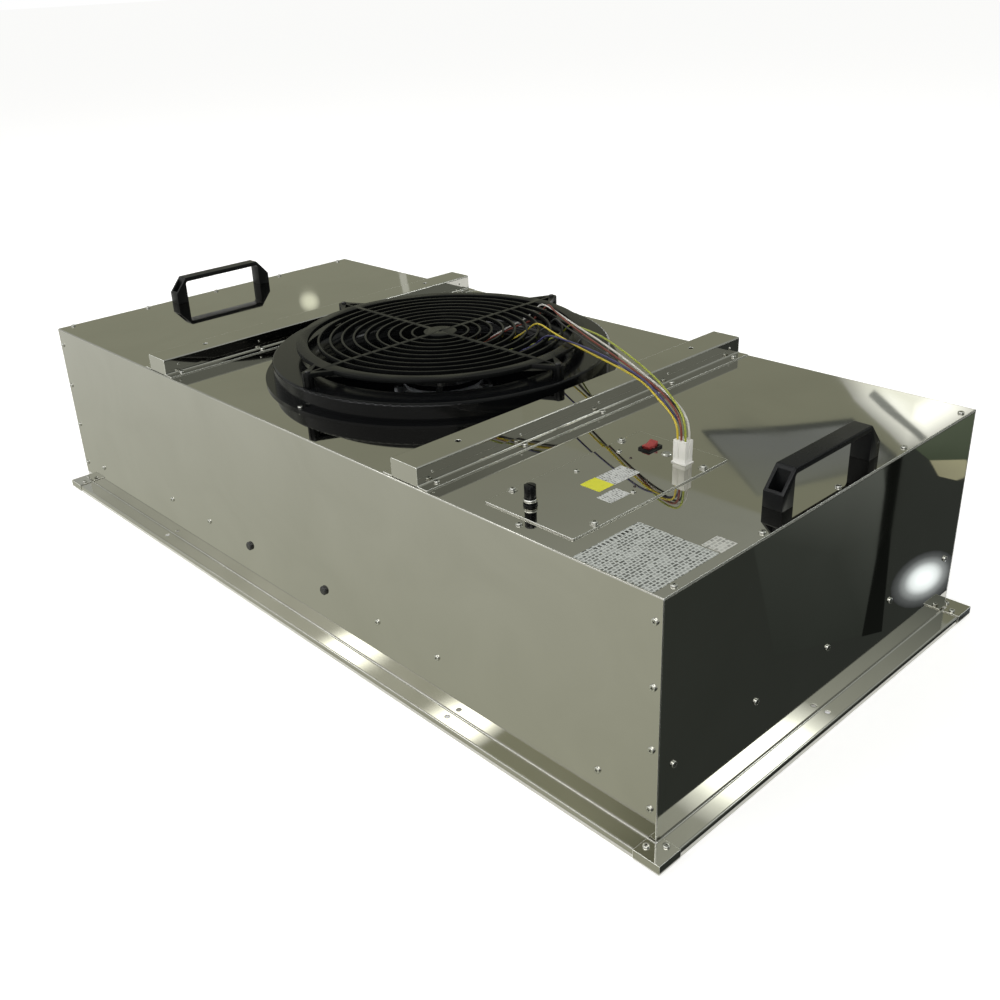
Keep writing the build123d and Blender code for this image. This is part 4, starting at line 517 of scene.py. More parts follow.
plate_seats = [
    ((end * (HALF_L + dx), side * (HALF_W + dy), PLATE_TOP), (0, 0, 1))
    for end in (-1, 1)
    for side in (-1, 1)
    for dx, dy in ((-PLATE_IN, PLATE_OUT), (PLATE_OUT, -PLATE_IN))
]
drive(pan_head, "corner_pan_screws", "corner_plate_screws", plate_seats)
rail_seats = [
    ((x, y, RAIL_FOOT), (0, 0, 1))
    for x in (0.220, 0.272, -0.284, -0.232)
    for y in rows
    if math.hypot(x, y) > RING_REACH
]
drive(pan_head, "rail_pan_screws", "rail_screws", rail_seats)
ring_seats = [
    ((RING_SCREW_R * math.cos(turn), RING_SCREW_R * math.sin(turn), RING_FOOT), (0, 0, 1))
    for turn in (0.0, math.pi / 2, math.pi, 1.5 * math.pi)
]
drive(pan_head, "ring_pan_screws", "ring_screws", ring_seats)
bpy.data.objects.remove(pan_head)


def rounded(node, width, material, body="unit", segments=2):
    """Merged copy of a CAD piece with its sharp edges rounded, which stands for that piece."""
    piece = bpy.data.objects.new(node + "_rounded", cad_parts[node].data.copy())
    bpy.context.collection.objects.link(piece)
    bpy.ops.object.select_all(action="DESELECT")
    piece.select_set(True)
    bpy.context.view_layer.objects.active = piece
    bpy.ops.mesh.customdata_custom_splitnormals_clear()
    bpy.ops.object.mode_set(mode="EDIT")
    bpy.ops.mesh.select_all(action="SELECT")
    bpy.ops.mesh.remove_doubles(threshold=0.00001)  # a CAD mesh is loose triangles
    bpy.ops.mesh.dissolve_limited(angle_limit=math.radians(0.5))
    bpy.ops.object.mode_set(mode="OBJECT")
    soften = piece.modifiers.new("rounding", "BEVEL")
    soften.width = width
    soften.segments = segments
    soften.limit_method = "ANGLE"
    soften.angle_limit = math.radians(35)
    soften.harden_normals = False
    apply_all(piece)
    bpy.ops.object.shade_smooth_by_angle(angle=math.radians(30))
    piece.data.materials.clear()
    piece.data.materials.append(material)
    for face in piece.data.polygons:
        face.material_index = 0
    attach(piece, body)
    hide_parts(node)
    return piece


# ---------------------------------------------------------------- filter and its seat
# The galvanised seat and clamps hold a cassette: an anodised channel frame round pleated glass
# paper, with a sprayed net under it and a foam gasket on top. None of it shows from above.

# The zinc froze in flat crystals some 8 mm across: a dull patchwork of two greys.
zinc, shader = new_material("hot-dip galvanised steel")
place = add_node(zinc, "ShaderNodeTexCoord", {})
spangle = add_node(
    zinc, "ShaderNodeTexVoronoi", {"Vector": place.outputs["Object"], "Scale": 120.0}
)
grey = add_node(
    zinc,
    "ShaderNodeMix",
    {"Factor": spangle.outputs["Distance"], "A": linear("#9ea1a2"), "B": linear("#85898b")},
    data_type="RGBA",
)
frost = add_node(
    zinc,
    "ShaderNodeMapRange",
    {"Value": spangle.outputs["Distance"], "To Min": 0.35, "To Max": 0.55},
)
add_node(
    zinc,
    shader,
    {
        "Base Color": grey.outputs["Result"],
        "Metallic": 1.0,
        "Roughness": frost.outputs["Result"],
    },
)
dress(zinc, "filter_seat", "filter_clamps", "control_tray")

# Drawn through a die, then anodised: fine lines along the channel under a satin film.
anodised, shader = new_material("satin anodised aluminium")
place = add_node(anodised, "ShaderNodeTexCoord", {})
draw = add_node(
    anodised,
    "ShaderNodeMapping",
    {"Vector": place.outputs["Object"], "Scale": (8.0, 8.0, 900.0)},
)
lines = add_node(
    anodised, "ShaderNodeTexNoise", {"Vector": draw.outputs["Vector"], "Scale": 2.0}
)
satin = add_node(
    anodised,
    "ShaderNodeMapRange",
    {"Value": lines.outputs["Fac"], "To Min": 0.3, "To Max": 0.45},
)
film = add_node(
    anodised,
    "ShaderNodeMix",
    {"Factor": lines.outputs["Fac"], "A": linear("#c3c5c6"), "B": linear("#b1b4b6")},
    data_type="RGBA",
)
add_node(
    anodised,
    shader,
    {
        "Base Color": film.outputs["Result"],
        "Metallic": 1.0,
        "Roughness": satin.outputs["Result"],
    },
)
dress(anodised, "filter_frame")


def matt(name, base, shade, grain, bump, roughness, shine=0.5):
    """Skin of moulded, sprayed or felted stuff; the grain's pitch and the bump are in metres."""
    material, shader = new_material(name)
    place = add_node(material, "ShaderNodeTexCoord", {})
    grains = add_node(
        material,
        "ShaderNodeTexNoise",
        {"Vector": place.outputs["Object"], "Scale": 1.0 / grain, "Detail": 3.0},
    )
    clouds = add_node(
        material,
        "ShaderNodeTexNoise",
        {"Vector": place.outputs["Object"], "Scale": 14.0, "Detail": 4.0},
    )
    tone = add_node(
        material,
        "ShaderNodeMix",
        {"Factor": clouds.outputs["Fac"], "A": linear(base), "B": linear(shade)},
        data_type="RGBA",
    )
    gloss = add_node(
        material,
        "ShaderNodeMapRange",
        {
            "Value": clouds.outputs["Fac"],
            "From Min": 0.3,
            "From Max": 0.7,
            "To Min": roughness[0],
            "To Max": roughness[1],
        },
    )
    skin = add_node(
        material,
        "ShaderNodeBump",
        {"Height": grains.outputs["Fac"], "Strength": 0.2, "Distance": bump},
    )
    add_node(
        material,
        shader,
        {
            "Base Color": tone.outputs["Result"],
            "Roughness": gloss.outputs["Result"],
            "Normal": skin.outputs["Normal"],
            "IOR": 1.5,
            "Specular IOR Level": shine,
        },
    )
    return material


# Glass fibre paper is felted, off-white and quite without gloss.
paper = matt(
    "glass fibre paper", "#ecebe4", "#dddcd3", grain=0.0008, bump=0.0004, roughness=(0.85, 0.95)
)
dress(paper, "filter_media")
# Sprayed and baked paint is an even white with a slight orange peel.
sprayed = matt(
    "white sprayed steel", "#e6e7e3", "#d8d9d5", grain=0.0006, bump=0.0001, roughness=(0.35, 0.5)
)
dress(sprayed, "filter_net")
# Open cells make foam dull and pitted.
foam = matt(
    "grey polyurethane foam", "#6f7274", "#5b5e60",
    grain=0.0012, bump=0.0008, roughness=(0.85, 0.95)
)
dress(foam, "filter_gasket")

# ---------------------------------------------------------------- inlet ring, guard and wheel
# The inlet ring is a gloss black ABS moulding; the guard and the impeller are glass-filled
# nylon, which comes out of the mould a little duller and greyer.

# A polished mould leaves ABS smooth and deep black, with soft reflections and faint waves.
black_abs = matt(
    "gloss black ABS", "#0b0c0d", "#111213",
    grain=0.003, bump=0.00002, roughness=(0.09, 0.18), shine=0.18
)
dress(black_abs, "inlet_ring", "fuse_nut")
# The glass fibres reach the skin and break its gloss up, so nylon looks duller.
black_nylon = matt(
    "black glass-filled nylon", "#0c0d0d", "#131414",
    grain=0.0012, bump=0.00003, roughness=(0.22, 0.32), shine=0.11
)
dress(black_nylon, "impeller_shroud", "impeller_wheel")
GUARD_ROUND = 0.0008  # a moulded edge's radius
rounded("fan_guard", GUARD_ROUND, black_nylon)

# ---------------------------------------------------------------- motor
# External-rotor motor, bolted under the ring's motor plate: a die-cast aluminium stator
# and cup, ferrite magnets, ball bearings and a ground shaft. It shows a little under the guard.

# Die-cast aluminium is grey and satin, with a fine skin from the die.
cast = matt(
    "die-cast aluminium", "#8f9294", "#7b7e80", grain=0.0008, bump=0.0002, roughness=(0.4, 0.55)
)
dress(cast, "motor_stator", "motor_rotor")
dress(bright, "motor_shaft", "motor_bearings", "motor_bolts", "wheel_screws")
dress(bright, "wall_nuts", "handle_nuts", "lamp_bezel")
# Sintered ferrite is a dark, stony grey.
ferrite = matt(
    "sintered ferrite", "#3a3a3c", "#2f2f31", grain=0.001, bump=0.0002, roughness=(0.6, 0.75)
)
dress(ferrite, "rotor_magnets")
# Black oxide with a film of oil: near black, with a low sheen.
black_steel = matt(
    "black oxide steel", "#1b1b1c", "#262627", grain=0.0006, bump=0.0001, roughness=(0.3, 0.45)
)
dress(black_steel, "wall_bolts", "handle_bolts", "guard_screws")

# ---------------------------------------------------------------- rails
# Two hat-shaped rails folded from the casing's polished sheet, screwed across the deck through
# their flanges, with a row of small rivets along each side and hanger holes in their tops.
dress(steel, "deck_rail_left", "deck_rail_right")


def rivet(name, radius, height, skin):
    """Low domed rivet head, its seat at the origin."""
    bpy.ops.object.select_all(action="DESELECT")
    bpy.ops.mesh.primitive_cylinder_add(
        vertices=14, radius=radius, depth=height, location=(0, 0, height / 2)
    )
    head = bpy.context.object
    head.name = name
    bpy.ops.object.transform_apply(location=True, rotation=False, scale=False)
    bpy.ops.object.mode_set(mode="EDIT")
    pick_faces(head, upward)
    bpy.ops.mesh.bevel(offset=0.6 * height, segments=2, affect="EDGES")
    bpy.ops.object.mode_set(mode="OBJECT")
    head.data.materials.append(skin)
    bpy.ops.object.shade_smooth_by_angle(angle=math.radians(50))
    return head


HALF_RAIL = 0.020
RIVET_R = 0.0015
RIVET_H = 0.0006
RIVET_Z = 0.2712
rail_rivet = rivet("rail_rivet", RIVET_R, RIVET_H, bright)
rivet_seats = [
    ((x + side * HALF_RAIL, y, RIVET_Z), (side, 0, 0))
    for x in (0.246, -0.258)
    for side in (-1, 1)
    for y in rows
    if math.hypot(x + side * HALF_RAIL, y) > RING_REACH
]
drive(rail_rivet, "rail_rivets", None, rivet_seats)
bpy.data.objects.remove(rail_rivet)

# ---------------------------------------------------------------- handles
# Two lifting handles moulded in nylon, one at each end of the unit, each bolted through the
# deck with nuts below it.

# The mould is finely blasted, so the nylon is satin, and its edges are soft.
handle_nylon = matt(
    "black moulded nylon", "#101112", "#191a1b",
    grain=0.0010, bump=0.00006, roughness=(0.24, 0.36), shine=0.12
)
HANDLE_ROUND = 0.0010
for side in ("left", "right"):
    rounded("handle_" + side, HANDLE_ROUND, handle_nylon, segments=3)

# ---------------------------------------------------------------- electrical cover
# A flat cover of the casing's sheet over an opening in the deck, held by four screws with
# washers. It carries a rocker switch, a fuse holder and three spacers with the speed board
# under them; the plug and the lamp stand beside the switch.
COVER = 0.2615  # top of the cover
BODY_ROUND = 0.0004  # moulded edges of the bodies
FINE_ROUND = 0.0003  # and of what is smaller
dress(steel, "control_cover")
rounded("switch_body", BODY_ROUND, black_abs)
rounded("fuse_body", BODY_ROUND, black_abs)
rounded("fuse_cap", FINE_ROUND, black_abs, "fuse_cap")

# A bright ring lies round the neck of the fuse holder, twice as high as it is thick.
FUSE_RING_PLACE = (0.375, -0.220, 0.2663)
bpy.ops.object.select_all(action="DESELECT")
bpy.ops.mesh.primitive_torus_add(
    major_segments=40,
    minor_segments=12,
    major_radius=0.0060,
    minor_radius=0.0008,
    location=FUSE_RING_PLACE,
)
fuse_ring = bpy.context.object
fuse_ring.name = "fuse_ring"
bpy.ops.object.transform_apply(location=True, rotation=False, scale=False)
bpy.ops.object.mode_set(mode="EDIT")
bpy.ops.mesh.select_all(action="SELECT")
bpy.ops.transform.resize(value=(1.0, 1.0, 2.2), center_override=FUSE_RING_PLACE)
bpy.ops.object.mode_set(mode="OBJECT")
bpy.ops.object.shade_smooth_by_angle(angle=math.radians(50))
fuse_ring.data.materials.append(bright)
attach(fuse_ring, "unit")

# Each cover screw stands on a flat washer.
WASHER_R = 0.0050
WASHER_T = 0.0008
COVER_SHANK_L = 0.0088
washer_head = screw_head("washer_head", PAN_R, PAN_H, SHANK_R, COVER_SHANK_L, bright)
bpy.ops.object.select_all(action="DESELECT")
bpy.ops.mesh.primitive_cylinder_add(
    vertices=28, radius=WASHER_R, depth=WASHER_T, location=(0, 0, -WASHER_T / 2)
)
washer = bpy.context.object
bpy.ops.object.transform_apply(location=True, rotation=False, scale=False)
bpy.ops.object.mode_set(mode="EDIT")
pick_faces(washer, upward)
bpy.ops.mesh.inset(thickness=0.0014, depth=0.0)
bpy.ops.mesh.bevel(offset=0.0002, segments=2, affect="EDGES")
bpy.ops.object.mode_set(mode="OBJECT")
washer.data.materials.append(bright)
washer_head.select_set(True)
bpy.context.view_layer.objects.active = washer_head
bpy.ops.object.join()
COVER_X, COVER_Y = 0.39275, -0.1295  # middle of the four screws
HALF_X, HALF_Y = 0.052, 0.080  # and the screws, out from it
cover_seats = [
    ((COVER_X + end * HALF_X, COVER_Y + side * HALF_Y, COVER + WASHER_T), (0, 0, 1))
    for end in (-1, 1)
    for side in (-1, 1)
]
drive(washer_head, "cover_washer_screws", "cover_screws", cover_seats)
bpy.data.objects.remove(washer_head)

# The screws of the speed board go through the cover into the spacers.
small_head = screw_head(
    "small_head", head_r=0.0030, head_h=0.0015, shank_r=0.0015, shank_l=0.0065, skin=bright
)
board_seats = [
    ((x, y, COVER), (0, 0, 1))
    for x, y in ((0.3568, -0.0723), (0.3568, -0.1365), (0.4285, -0.1365))
]
drive(small_head, "board_pan_screws", "board_screws", board_seats)
bpy.data.objects.remove(small_head)

# Solder resist is a glossy green film over glass cloth.
board = matt(
    "green circuit board", "#1f4a33", "#1a3f2c", grain=0.0006, bump=0.00005, roughness=(0.3, 0.4)
)
dress(board, "speed_board")
# Tinted epoxy, dark and glassy while it is off.
resin = matt(
    "dark LED resin", "#20140f", "#2b1a14", grain=0.002, bump=0.00002, roughness=(0.12, 0.2)
)
dress(resin, "status_leds")
# Drawn aluminium can with a satin skin.
can = matt(
    "capacitor can", "#c9cbcb", "#babcbc", grain=0.001, bump=0.00005, roughness=(0.35, 0.45)
)
dress(can, "run_capacitor")
# Polycarbonate keeps the mould's gloss; its red is a little worn.
rocker_red = matt(
    "red polycarbonate", "#b04644", "#963634", grain=0.001, bump=0.00003, roughness=(0.18, 0.28)
)
rounded("rocker", FINE_ROUND, rocker_red, "rocker")
# Clear tube, smooth and pale, shut inside its holder.
glass = matt("fuse glass", "#cfd6d4", "#c2cac8", grain=0.002, bump=0.00001, roughness=(0.05, 0.1))
dress(glass, "fuse_link")
# Unfilled nylon is milky white and satin.
white_nylon = matt(
    "white nylon", "#f8f7f0", "#efeee7", grain=0.001, bump=0.00006, roughness=(0.35, 0.45)
)
rounded("connector_plug", BODY_ROUND, white_nylon)
rounded("connector_socket", FINE_ROUND, white_nylon)
# A smoky moulded lens, smooth enough to glint.
lens = matt("lamp lens", "#8d8f86", "#7d7f77", grain=0.002, bump=0.00001, roughness=(0.08, 0.14))
dress(lens, "lamp_lens")

# ---------------------------------------------------------------- labels
# Polyester film, 0.15 mm thick, stuck to the deck and the cover: one large data label with
# rows of plain blocks, its small tag, and three little labels on the cover, one yellow.
LABEL_THICK = 0.00015
LABEL_CORNER = 0.0008
HEADING_LIFT = 0.0001  # the heading lies on the data label


def printed_film(name, paper_code, ink_code, row, dash, cover):
    """Satin film, rubbed in places, with rows of plain blocks: row and dash are in metres."""
    material, shader = new_material(name)
    place = add_node(material, "ShaderNodeTexCoord", {})
    turned = add_node(
        material,
        "ShaderNodeMapping",
        {"Vector": place.outputs["Object"], "Rotation": (0, 0, math.pi / 2)},
    )
    rules = add_node(
        material,
        "ShaderNodeTexBrick",
        {
            "Vector": turned.outputs["Vector"],
            "Color1": linear(ink_code),
            "Color2": linear(paper_code),
            "Mortar": linear(paper_code),
            "Scale": 1.0,
            "Mortar Size": 0.2 * row,
            "Mortar Smooth": 0.2,
            "Bias": cover,
            "Brick Width": dash,
            "Row Height": row,
        },
        offset=0.37,
        offset_frequency=3,
        squash=1.6,
        squash_frequency=5,
    )
    fibre = add_node(
        material,
        "ShaderNodeTexNoise",
        {"Vector": place.outputs["Object"], "Scale": 260.0, "Detail": 3.0},
    )
    rubbed = add_node(
        material,
        "ShaderNodeMapRange",
        {"Value": fibre.outputs["Fac"], "From Min": 0.5, "From Max": 0.8, "To Max": 0.5},
    )
    worn = add_node(
        material,
        "ShaderNodeMix",
        {"Factor": rubbed.outputs["Result"], "A": rules.outputs["Color"], "B": linear(paper_code)},
        data_type="RGBA",
    )
    gloss = add_node(
        material,
        "ShaderNodeMapRange",
        {"Value": fibre.outputs["Fac"], "To Min": 0.3, "To Max": 0.5},
    )
    add_node(
        material,
        shader,
        {"Base Color": worn.outputs["Result"], "Roughness": gloss.outputs["Result"]},
    )
    return material


def label(name, west, south, east, north, foot, material):
    """Label with small round corners, lying on its foot."""
    bpy.ops.object.select_all(action="DESELECT")
    bpy.ops.mesh.primitive_plane_add(
        size=1.0, location=((west + east) / 2, (south + north) / 2, foot)
    )
    piece = bpy.context.object
    piece.name = name
    piece.scale = (east - west, north - south, 1.0)
    bpy.ops.object.transform_apply(location=True, rotation=False, scale=True)
    bpy.ops.object.mode_set(mode="EDIT")
    bpy.ops.mesh.select_all(action="SELECT")
    bpy.ops.mesh.bevel(offset=LABEL_CORNER, segments=3, affect="VERTICES")
    bpy.ops.mesh.select_all(action="SELECT")
    bpy.ops.mesh.extrude_region_move(TRANSFORM_OT_translate={"value": (0, 0, LABEL_THICK)})
    bpy.ops.mesh.select_all(action="SELECT")
    bpy.ops.mesh.normals_make_consistent(inside=False)
    bpy.ops.object.mode_set(mode="OBJECT")
    piece.data.materials.append(material)
    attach(piece, "unit")
    return piece


# Polyester takes a satin varnish; thumbs have rubbed the blocks paler in places.
data_film = printed_film(
    "printed data label", "#c6cac3", "#50534e", row=0.0036, dash=0.0047, cover=-0.35
)
tag_film = printed_film("printed tag", "#cbccc3", "#86877f", row=0.0040, dash=0.0052, cover=-0.2)
white_film = printed_film(
    "printed white film", "#d6d8d3", "#6b6e68", row=0.0027, dash=0.0033, cover=-0.2
)
yellow_film = printed_film("yellow film", "#dfdf2f", "#d5d526", row=0.0040, dash=0.0060, cover=0.2)
heading_film = printed_film(
    "printed heading", "#c6cac3", "#121412", row=0.0062, dash=0.0052, cover=-0.9
)
# Each label's west, south, east and north edge, and what it lies on.
label("data_label", 0.4695, -0.2660, 0.5560, -0.1785, DECK, data_film)
label("data_heading", 0.4714, -0.2420, 0.4772, -0.1930, DECK + HEADING_LIFT, heading_film)
label("data_tag", 0.5360, -0.1765, 0.5570, -0.1535, DECK, tag_film)
label("yellow_label", 0.3805, -0.1580, 0.4050, -0.1362, COVER, yellow_film)
label("white_label", 0.3810, -0.1358, 0.4055, -0.0980, COVER, white_film)
label("small_label", 0.4110, -0.1690, 0.4290, -0.1410, COVER, white_film)

# ---------------------------------------------------------------- studio
# A pale floor that reads white, soft lamps overhead, and cards that only the polished steel
# shows: olive walls and ceiling, dark and grey boards by the right end, and strip lights.
bpy.ops.object.select_all(action="DESELECT")
bpy.ops.mesh.primitive_plane_add(size=160.0, location=(0, 0, 0))
floor = bpy.context.object
floor.name = "floor"
pale, shader = new_material("pale floor")


def seen_directly(material):
    """One for camera, glossy and transmission rays, and nothing for the others."""
    ray = add_node(material, "ShaderNodeLightPath", {})
    seen = add_node(
        material,
        "ShaderNodeMath",
        {0: ray.outputs["Is Camera Ray"], 1: ray.outputs["Is Glossy Ray"]},
        operation="ADD",
    )
    return add_node(
        material,
        "ShaderNodeMath",
        {0: seen.outputs["Value"], 1: ray.outputs["Is Transmission Ray"]},
        operation="ADD",
    ).outputs["Value"]


FLOOR_GLOW = 0.52  # enough for the floor to read white, with the shadow kept
glow = add_node(
    pale, "ShaderNodeMath", {0: seen_directly(pale), 1: FLOOR_GLOW}, operation="MULTIPLY"
)
add_node(
    pale,
    shader,
    {
        "Base Color": linear("#f1f1ee"),
        "Roughness": 0.9,
        "Specular IOR Level": 0.0,
        "Emission Color": linear("#ffffff"),
        "Emission Strength": glow.outputs["Value"],
    },
)
floor.data.materials.append(pale)

# An even pale sky, half as bright to what it lights as to the eye.
world = bpy.data.worlds.new("studio")
bpy.context.scene.world = world
world.use_nodes = True
level = add_node(
    world,
    "ShaderNodeMapRange",
    {"Value": seen_directly(world), "To Min": 0.5, "To Max": 1.0},
)
add_node(
    world,
    world.node_tree.nodes["Background"],
    {"Color": linear("#ffffff"), "Strength": level.outputs["Result"]},
)

# The cards glow evenly in the colours that their corners carry.
card_paint, shader = new_material("lit card")
shade = add_node(card_paint, "ShaderNodeVertexColor", {}, layer_name="shade")
add_node(
    card_paint,
    shader,
    {
        "Base Color": linear("#000000"),
        "Roughness": 1.0,
        "Specular IOR Level": 0.0,
        "Emission Color": shade.outputs["Color"],
        "Emission Strength": 1.0,
    },
)


def card(name, corners, rings=1, levels=(1.0,)):
    """Board that only the polished steel shows; each corner is a place and a colour.

    The levels multiply the colours, ring by ring, from the rim to the middle.
    """
    mesh = bpy.data.meshes.new(name)
    middle = sum((Vector(place) for place, code in corners), Vector()) / len(corners)
    places = [middle]
    shades = [[levels[-1] * part for part in linear(corners[0][1])]]
    faces = []
    count = len(corners)
    for ring in range(rings):
        grow = (ring + 1) / rings
        for place, code in corners:
            places.append(middle.lerp(Vector(place), grow))
            shades.append([levels[rings - 1 - ring] * part for part in linear(code)])
        for corner in range(count):
            following = (corner + 1) % count
            outer = 1 + ring * count
            if ring:
                inner = outer - count
                far_side = (outer + corner, outer + following)
                faces.append((inner + corner, *far_side, inner + following))
            else:
                faces.append((0, outer + corner, outer + following))
    mesh.from_pydata(places, [], faces)
    layer = mesh.color_attributes.new("shade", "FLOAT_COLOR", "POINT")
    for spot, colour in zip(layer.data, shades):
        spot.color = colour
    piece = bpy.data.objects.new(name, mesh)
    bpy.context.collection.objects.link(piece)
    mesh.materials.append(card_paint)
    piece.visible_camera = False
    piece.visible_diffuse = False
    piece.visible_shadow = False
    piece.visible_transmission = False
    return piece


def lamp(name, energy, size, place, aim):
    """Large soft lamp at a place, turned to its aim."""
    bpy.ops.object.light_add(type="AREA", location=place)
    made = bpy.context.object
    made.name = name
    made.data.shape = "RECTANGLE"
    made.data.size, made.data.size_y = size
    made.data.energy = energy
    made.rotation_euler = (Vector(place) - Vector(aim)).to_track_quat("Z", "Y").to_euler()
    return made


# The room's walls, olive with a pale upper part on the left and grey on the right.
CEILING = 5.6
LEFT, RIGHT, FRONT, BACK = -9, 6, -6, 9
card("left wall", [
    ((LEFT, FRONT, 0.3), "#a1a28f"), ((LEFT, BACK, 0.3), "#9a9b88"),
    ((LEFT, BACK, CEILING), "#9fa08e"),
    ((LEFT, FRONT, CEILING), "#a5a694"),
])
card("pale upper wall", [
    ((-8.9, -6, 0.5), "#c6c8c2"), ((-8.9, -0.3, 0.5), "#c6c8c2"), ((-8.9, 4.9, 5.55), "#c6c8c2"),
    ((-8.9, -6, 5.55), "#c6c8c2"),
])
card("back wall", [
    ((LEFT, BACK, 0.3), "#9a9b88"), ((2.5, BACK, 0.3), "#94957f"),
    ((2.5, BACK, CEILING), "#94957f"),
    ((LEFT, BACK, CEILING), "#9c9d8a"),
])
card("right wall", [
    ((2.5, BACK, 0.2), "#a8aba5"), ((RIGHT, 6, 0.2), "#5c615d"), ((RIGHT, -4, 0.2), "#5c615d"),
    ((RIGHT, -4, CEILING), "#646965"), ((RIGHT, 6, CEILING), "#5c615d"),
    ((2.5, BACK, CEILING), "#a8aba5"),
])
# A pale soffit under the ceiling, which the flanges show by way of the casing's walls.
SOFFIT = 3.05
SOFFIT_FRONT, SOFFIT_BACK = -3.2, -2.2
soffits = (
    ("soffit left", LEFT, -4.0, "#b9bbb4", "#d8d9d0"),
    ("soffit middle", -4.0, -2.5, "#d8d9d0", "#b5b7a6"),
    ("soffit right", -2.5, -1.0, "#a5a694", "#5b5c4b"),
)
for name, west, east, west_code, east_code in soffits:
    card(name, [
        ((west, SOFFIT_FRONT, SOFFIT), west_code), ((east, SOFFIT_FRONT, SOFFIT), east_code),
        ((east, SOFFIT_BACK, SOFFIT), east_code), ((west, SOFFIT_BACK, SOFFIT), west_code),
    ], 1, (2.0,))
card("soffit side", [
    ((2.0, 1.6, SOFFIT), "#c0c3bd"), ((3.0, 1.6, SOFFIT), "#c0c3bd"),
    ((3.0, 5.4, SOFFIT), "#5f635f"), ((2.0, 5.4, SOFFIT), "#5f635f"),
], 1, (2.0,))


def tube(name, middle, long_way, short_way, code, levels):
    """Soft-edged lamp: an oval card whose light grows towards its middle, ring by ring."""
    rim = []
    for step in range(24):
        turn = step * math.pi / 12
        reach = math.cos(turn) * Vector(long_way) + math.sin(turn) * Vector(short_way)
        rim.append((Vector(middle) + reach, code))
    card(name, rim, len(levels), levels)


BRIGHT_TUBE = (4.0, 9.0, 10.0)  # light from near the rim of a tube to its middle
tube("first tube", (-3.68, -2.75, 3.0), (0.27, 0, 0), (0, 0.5, 0), "#e8e9e4", (1.6, *BRIGHT_TUBE))
tube("second tube", (-2.68, -2.75, 3.0), (0.24, 0, 0), (0, 0.5, 0), "#e8e9e4", (1.2, *BRIGHT_TUBE))
tube("side tube", (2.5, 3.1, 3.0), (0, 0.58, 0), (0.6, 0, 0), "#dfe2e0", (1.6, *BRIGHT_TUBE))
FAINT = (1.0, 2.0, 2.6)
tube("lamp on the far wall", (-8.9, 5.66, 3.0), (0, 0.14, 0.03), (0, 0, 0.12), "#b0b19f", FAINT)
GLEAM = (0.6, 1.6, 5.0, 14.0, 18.0)
tube("gleam", (0.623, 0.33, 0.0018), (0.0, 0.075, 0), (0.034, 0.03, 0), "#5b5e60", GLEAM)

# A green cloth lies on the floor, past the right end.
card("green cloth", [
    ((0.835, 0.705, 0.0016), "#616b5a"), ((0.835, 0.95, 0.0016), "#6b7563"),
    ((0.727, 0.72, 0.0016), "#596352"), ((0.784, 0.667, 0.0016), "#535d4c"),
])

# Overhead and in the back wall: ceiling, strip lamp, window, panes and a beam.
card("ceiling", [
    ((LEFT, FRONT, CEILING), "#b9bbb4"), ((LEFT, BACK, CEILING), "#9b9c8c"),
    ((RIGHT, BACK, CEILING), "#c4c9c8"), ((RIGHT, FRONT, CEILING), "#c9cdc9"),
])
card("overhead lamp", [
    ((-8.5, -5.8, 5.5), "#ffffff"), ((5, -5.8, 5.5), "#ffffff"), ((5, -3.2, 5.5), "#ffffff"),
    ((-8.5, -3.2, 5.5), "#ffffff"),
], 2, (4.0, 6.0))
card("window", [
    ((-4.5, 8.9, 3.5), "#b9bab0"), ((-4.1, 8.9, 3.92), "#c9cac4"), ((-3.5, 8.9, 4.3), "#c9cac4"),
    ((-3.25, 8.9, 4.14), "#e9eae4"), ((-2.8, 8.9, 3.72), "#e9eae4"), ((-2.8, 8.9, 3.2), "#c9cac4"),
], 3, (1.0, 2.2, 3.2))
card("dark pane edge", [
    ((-5.93, 8.86, 4.74), "#5a5d5a"), ((-4.83, 8.86, 4.38), "#575a57"),
    ((-4.08, 8.86, 4.10), "#525552"), ((-3.56, 8.86, 4.36), "#5a5d5a"),
    ((-3.60, 8.86, 4.46), "#6a6d6a"), ((-5.12, 8.86, 5.32), "#8a8d80"),
])
card("grey pane", [
    ((-5.80, 8.84, 4.76), "#858886"), ((-4.83, 8.84, 4.46), "#868987"),
    ((-4.10, 8.84, 4.17), "#8d908e"), ((-3.64, 8.84, 4.40), "#8a8d8a"),
    ((-5.08, 8.84, 5.26), "#8c8f84"),
])
card("beam", [
    ((-3.94, 8.86, 3.82), "#9a9d99"), ((-3.77, 8.86, 3.92), "#8a8d89"),
    ((-3.56, 8.86, 4.03), "#7d807c"), ((-3.34, 8.86, 4.15), "#8a8d89"),
    ((-3.28, 8.86, 4.10), "#8a8d89"), ((-3.50, 8.86, 3.97), "#7d807c"),
    ((-3.72, 8.86, 3.84), "#8a8d89"), ((-3.88, 8.86, 3.75), "#9a9d99"),
])

# A pale pole against the left wall.
card("pole", [
    ((-8.9, 6.90, 2.6), "#cfd0c4"), ((-8.9, 7.00, 2.6), "#cfd0c4"), ((-8.9, 7.10, 3.4), "#cfd0c4"),
    ((-8.9, 7.00, 3.4), "#cfd0c4"),
])

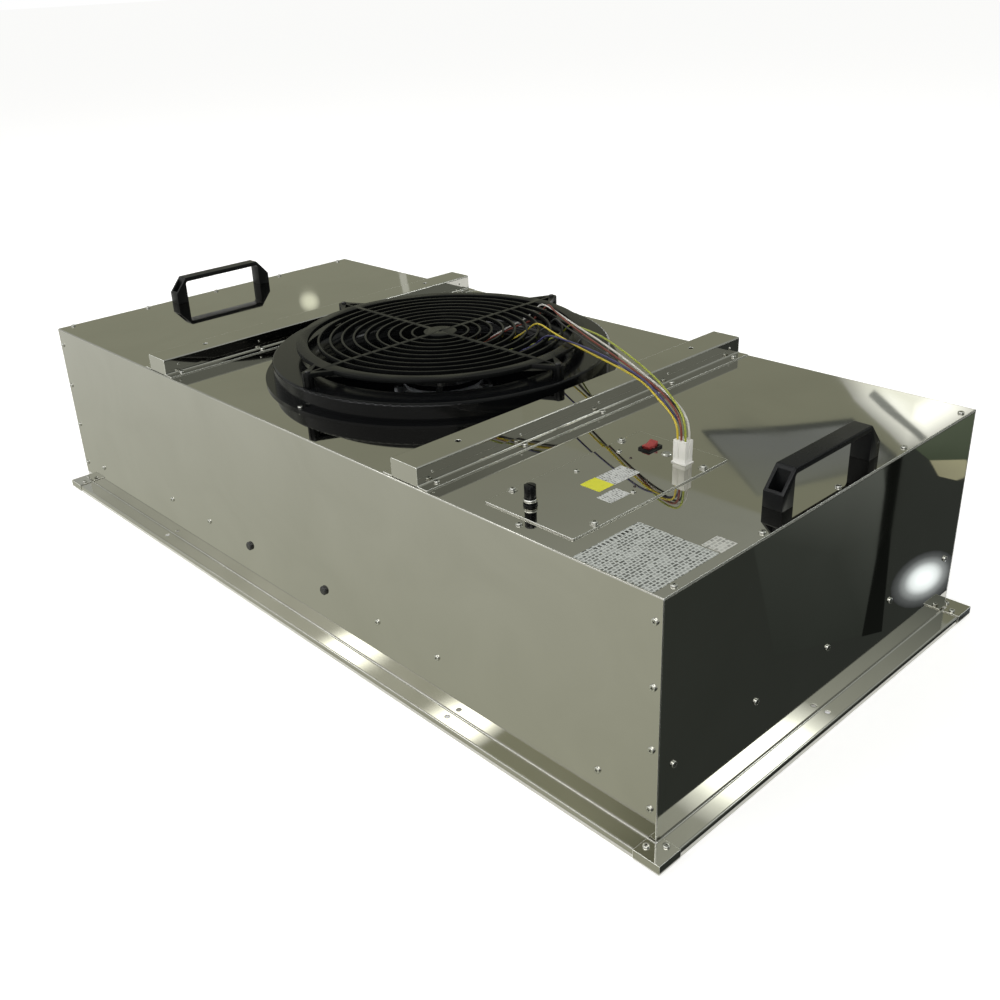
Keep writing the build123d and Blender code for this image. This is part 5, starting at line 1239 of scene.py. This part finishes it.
# What lies on the floor round the unit: a bright stretch in front, boards and a lamp beyond the
# right end, which the end panel shows. Each lies a little above the one under it.
card("floor before the wall", [
    ((-3.0, -2.2, 0.001), "#f3f4ee"), ((0.6, -2.2, 0.001), "#cfd0bd"),
    ((0.6, -0.29, 0.001), "#c4c5b2"), ((-3.0, -0.29, 0.001), "#eef0e9"),
])
card("dark board", [
    ((0.59, -1.2, 0.001), "#444842"), ((3.0, -1.2, 0.001), "#565953"),
    ((3.0, 2.4, 0.001), "#565953"), ((0.59, 2.4, 0.001), "#4a4d4b"),
    ((0.59, 0.2, 0.001), "#3a3d3a"),
])
card("middle board", [
    ((0.84, 0.28, 0.0014), "#474b47"), ((0.84, 0.63, 0.0014), "#747874"),
    ((0.715, 0.41, 0.0014), "#595d59"), ((0.61, 0.17, 0.0014), "#3c403c"),
    ((0.66, 0.06, 0.0014), "#3c403c"),
])
card("dark band", [
    ((0.830, 0.628, 0.0018), "#151715"), ((0.826, 0.665, 0.0018), "#151715"),
    ((0.713, 0.418, 0.0018), "#151715"), ((0.600, 0.185, 0.0018), "#1b1d1b"),
    ((0.611, 0.160, 0.0018), "#1b1d1b"), ((0.690, 0.335, 0.0018), "#151715"),
])
card("tan lamp", [
    ((0.784, 0.667, 0.0018), "#b9b698"), ((0.745, 0.705, 0.0018), "#c7c4a2"),
    ((0.712, 0.668, 0.0018), "#c7c4a2"), ((0.722, 0.625, 0.0018), "#b9b698"),
    ((0.748, 0.622, 0.0018), "#b0ad90"),
])

# A wide lamp over the front left, a soft one over the right and a strip behind. The polished
# steel doesn't mirror the first and the last, which would glare in its flanges.
AIM = (0, 0, 0.2)
key = lamp("key", energy=55.0, size=(4.5, 0.8), place=(-2.0, -2.3, 2.7), aim=AIM)
lamp("fill", energy=18.0, size=(1.6, 1.6), place=(2.8, -1.6, 2.8), aim=AIM)
rim = lamp("rim", energy=16.0, size=(2.4, 0.5), place=(1.2, 3.0, 2.9), aim=AIM)
key.visible_glossy = False
rim.visible_glossy = False

# ---------------------------------------------------------------- finish
# Colours are shown as they are.
bpy.context.scene.view_settings.view_transform = "Standard"
